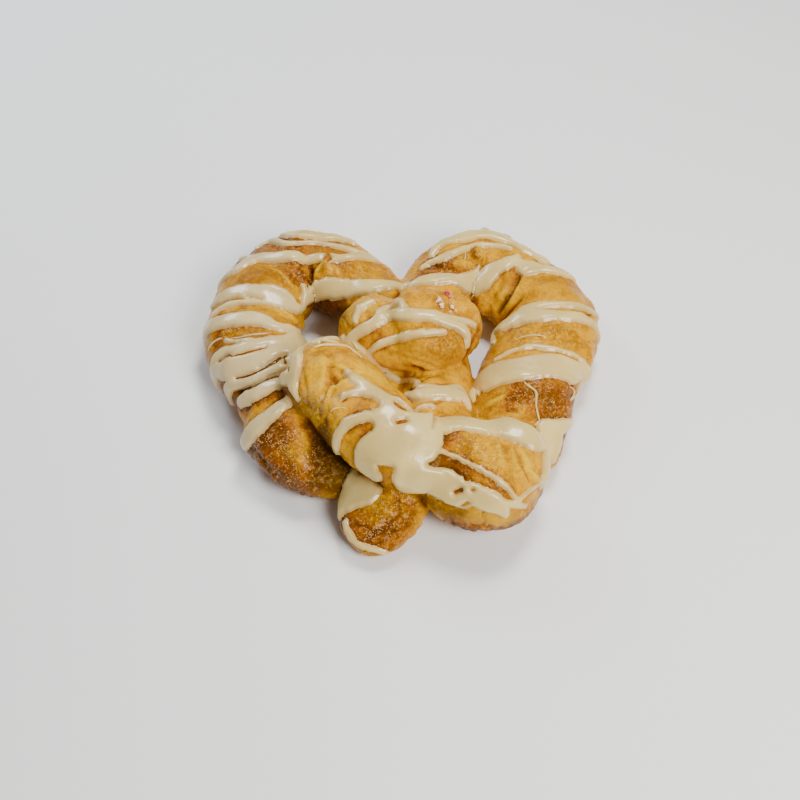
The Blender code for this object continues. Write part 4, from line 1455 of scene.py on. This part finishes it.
# %% Icing material
ICING = (0.70, 0.52, 0.180)
ICING_DEEP = (0.58, 0.415, 0.14)
THIN_ICING = (0.46, 0.26, 0.07)
PAINTED_COOL_SHADE_ICING = (0.60, 0.47, 0.27)
ICING_GLOW = (1.0, 0.7, 0.45)
SWIRL_SCALE = 60.0
RIPPLE_SCALE = 260.0
# Metres to the side between which the painted cool shade fades out
FULL_COOL_SHADE = -0.052
NO_COOL_SHADE = -0.030
SWIRL_RANGE = (0.35, 0.68)
THIN_RANGE = (-0.1, 0.55)
# Depth in metres and strength
SWIRL_BUMP = (0.0016, 0.4)
RIPPLE_BUMP = (0.0006, 0.4)


def glaze(name, with_edge):
    """Two tans mixed by a slow swirl, a colder grey at the left as painted shade, and a darker one where it
    is thin.
    """
    shade = Shade(name)
    where = shade.node("ShaderNodeTexCoord", output=3)
    swirl = shade.grain(where, SWIRL_SCALE, 3.0, 0.5, 0.6)
    ripple = shade.grain(where, RIPPLE_SCALE, 2.0, 0.5)
    colour = shade.mix(shade.ramp(swirl, *SWIRL_RANGE), ICING_DEEP, ICING)
    sideways = shade.node("ShaderNodeSeparateXYZ", {}, {0: where})
    colour = shade.mix((1 - shade.ramp(sideways, FULL_COOL_SHADE, NO_COOL_SHADE)) * 0.5, colour, PAINTED_COOL_SHADE_ICING)
    if with_edge:
        thin = 1 - shade.ramp(shade.attribute("edge") + (ripple - MEAN) * 0.6, *THIN_RANGE)
        colour = shade.mix(thin * 0.55, colour, THIN_ICING)
    normal = shade.bump(ripple, *RIPPLE_BUMP, shade.bump(swirl, *SWIRL_BUMP))
    shade.set(Base_Color=colour, Roughness=0.26 + swirl * 0.12, Normal=normal)
    shade.set(Coat_Weight=0.35 + swirl * 0.1, Coat_Roughness=0.10, Specular_IOR_Level=0.3)
    shade.set(Subsurface_Weight=0.15, Subsurface_Scale=0.003)
    shade.shader.inputs["Subsurface Radius"].default_value = ICING_GLOW
    return shade.material


CANDY_SCALE = 900.0
DUST_RANGE = (0.4, 0.65)
DUST_BUMP = (0.0004, 0.5)


def candy(name, colour, dusted):
    """Two colours mixed by fine noise."""
    shade = Shade(name)
    where = shade.node("ShaderNodeTexCoord", output=3)
    mottle = shade.grain(where, CANDY_SCALE, 3.0, 0.6)
    mixed = shade.mix(shade.ramp(mottle, *DUST_RANGE), colour, dusted)
    shade.set(Base_Color=mixed, Roughness=0.3 + mottle * 0.2)
    shade.set(Normal=shade.bump(mottle, *DUST_BUMP), Subsurface_Weight=0.3, Subsurface_Scale=0.001)
    return shade.material


WHITE_SUGAR = (0.90, 0.72, 0.55)
WHITE_DUSTED = (0.85, 0.45, 0.30)
RED_SUGAR = (0.60, 0.05, 0.02)
RED_DUSTED = (0.85, 0.40, 0.25)
white_crumbs.data.materials.append(candy("white sugar", WHITE_SUGAR, WHITE_DUSTED))
red_crumbs.data.materials.append(candy("red sugar", RED_SUGAR, RED_DUSTED))
icing.data.materials.append(glaze("maple icing", True))
threads.data.materials.append(glaze("thread icing", False))
print("the icing has", len(icing.data.materials[0].node_tree.nodes), "nodes")

# %% [markdown]
# ## Everything rides on the one body
#
# The pretzel has no moving parts, so each piece rides on the root. The dough and the icing stand for the
# imported solid, which holds both of their forms fused in one.

# %% Ride and replace
for piece in (dough, icing, threads, white_crumbs, red_crumbs):
    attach(piece, "root")
    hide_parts("pretzel")
    print(piece.name, "stands for the solid")

# %% [markdown]
# ## Floor and light
#
# A pale floor and soft lamps, as on a product table. A lamp high behind at the right makes the highlights
# on the icing, a wide one in front at the right opens the shadows, and a cool one at the left lights the
# back.

# %% Studio
FLOOR_SIZE = 3000.0
TABLE = (0.84, 0.84, 0.83)
TABLE_LIGHT = (0.88, 0.88, 0.87)
WARM_LIGHT = (1.0, 0.985, 0.96)
COOL_LIGHT = (0.78, 0.87, 1.0)
# Name, watts, side of the square, place and colour of each lamp
LAMPS = (
    ("key", 4.1, 200, (120, 260, 620), WARM_LIGHT),
    ("fill", 6.6, 300, (330, -420, 480), WARM_LIGHT),
    ("back", 1.6, 160, (-320, 380, 340), COOL_LIGHT),
)
WORLD_LIGHT = (1.0, 1.0, 1.0, 1.0)
WORLD_STRENGTH = 0.18


def studio_floor():
    """A level square in two pale greys mixed by noise, which is stage and no part of the pretzel."""
    half = FLOOR_SIZE / 2
    corners = [(-half, -half, 0), (half, -half, 0), (half, half, 0), (-half, half, 0)]
    floor = new_object("floor", corners, [(0, 1, 2, 3)])
    shade = Shade("pale table")
    where = shade.node("ShaderNodeTexCoord", output=3)
    cloud = shade.grain(where, 3.0, 3.0, 0.5)
    shade.set(Base_Color=shade.mix(cloud, TABLE, TABLE_LIGHT), Roughness=0.7)
    floor.data.materials.append(shade.material)


def lamp(name, energy, size, place_mm, colour):
    """A square lamp that points at the middle of the pretzel."""
    light = bpy.data.lights.new(name, "AREA")
    light.energy = energy
    light.size = size * MM
    light.color = colour
    obj = bpy.data.objects.new(name, light)
    obj.location = Vector(place_mm) * MM
    aim = Vector(TARGET.tolist()) - Vector(place_mm)
    obj.rotation_euler = aim.to_track_quat("-Z", "Y").to_euler()
    bpy.context.scene.collection.objects.link(obj)


studio_floor()
for entry in LAMPS:
    lamp(*entry)
world = bpy.data.worlds.new("studio")
world.use_nodes = True
background = world.node_tree.nodes["Background"]
background.inputs[0].default_value = WORLD_LIGHT
background.inputs[1].default_value = WORLD_STRENGTH
bpy.context.scene.world = world
print(len(LAMPS), "lamps")
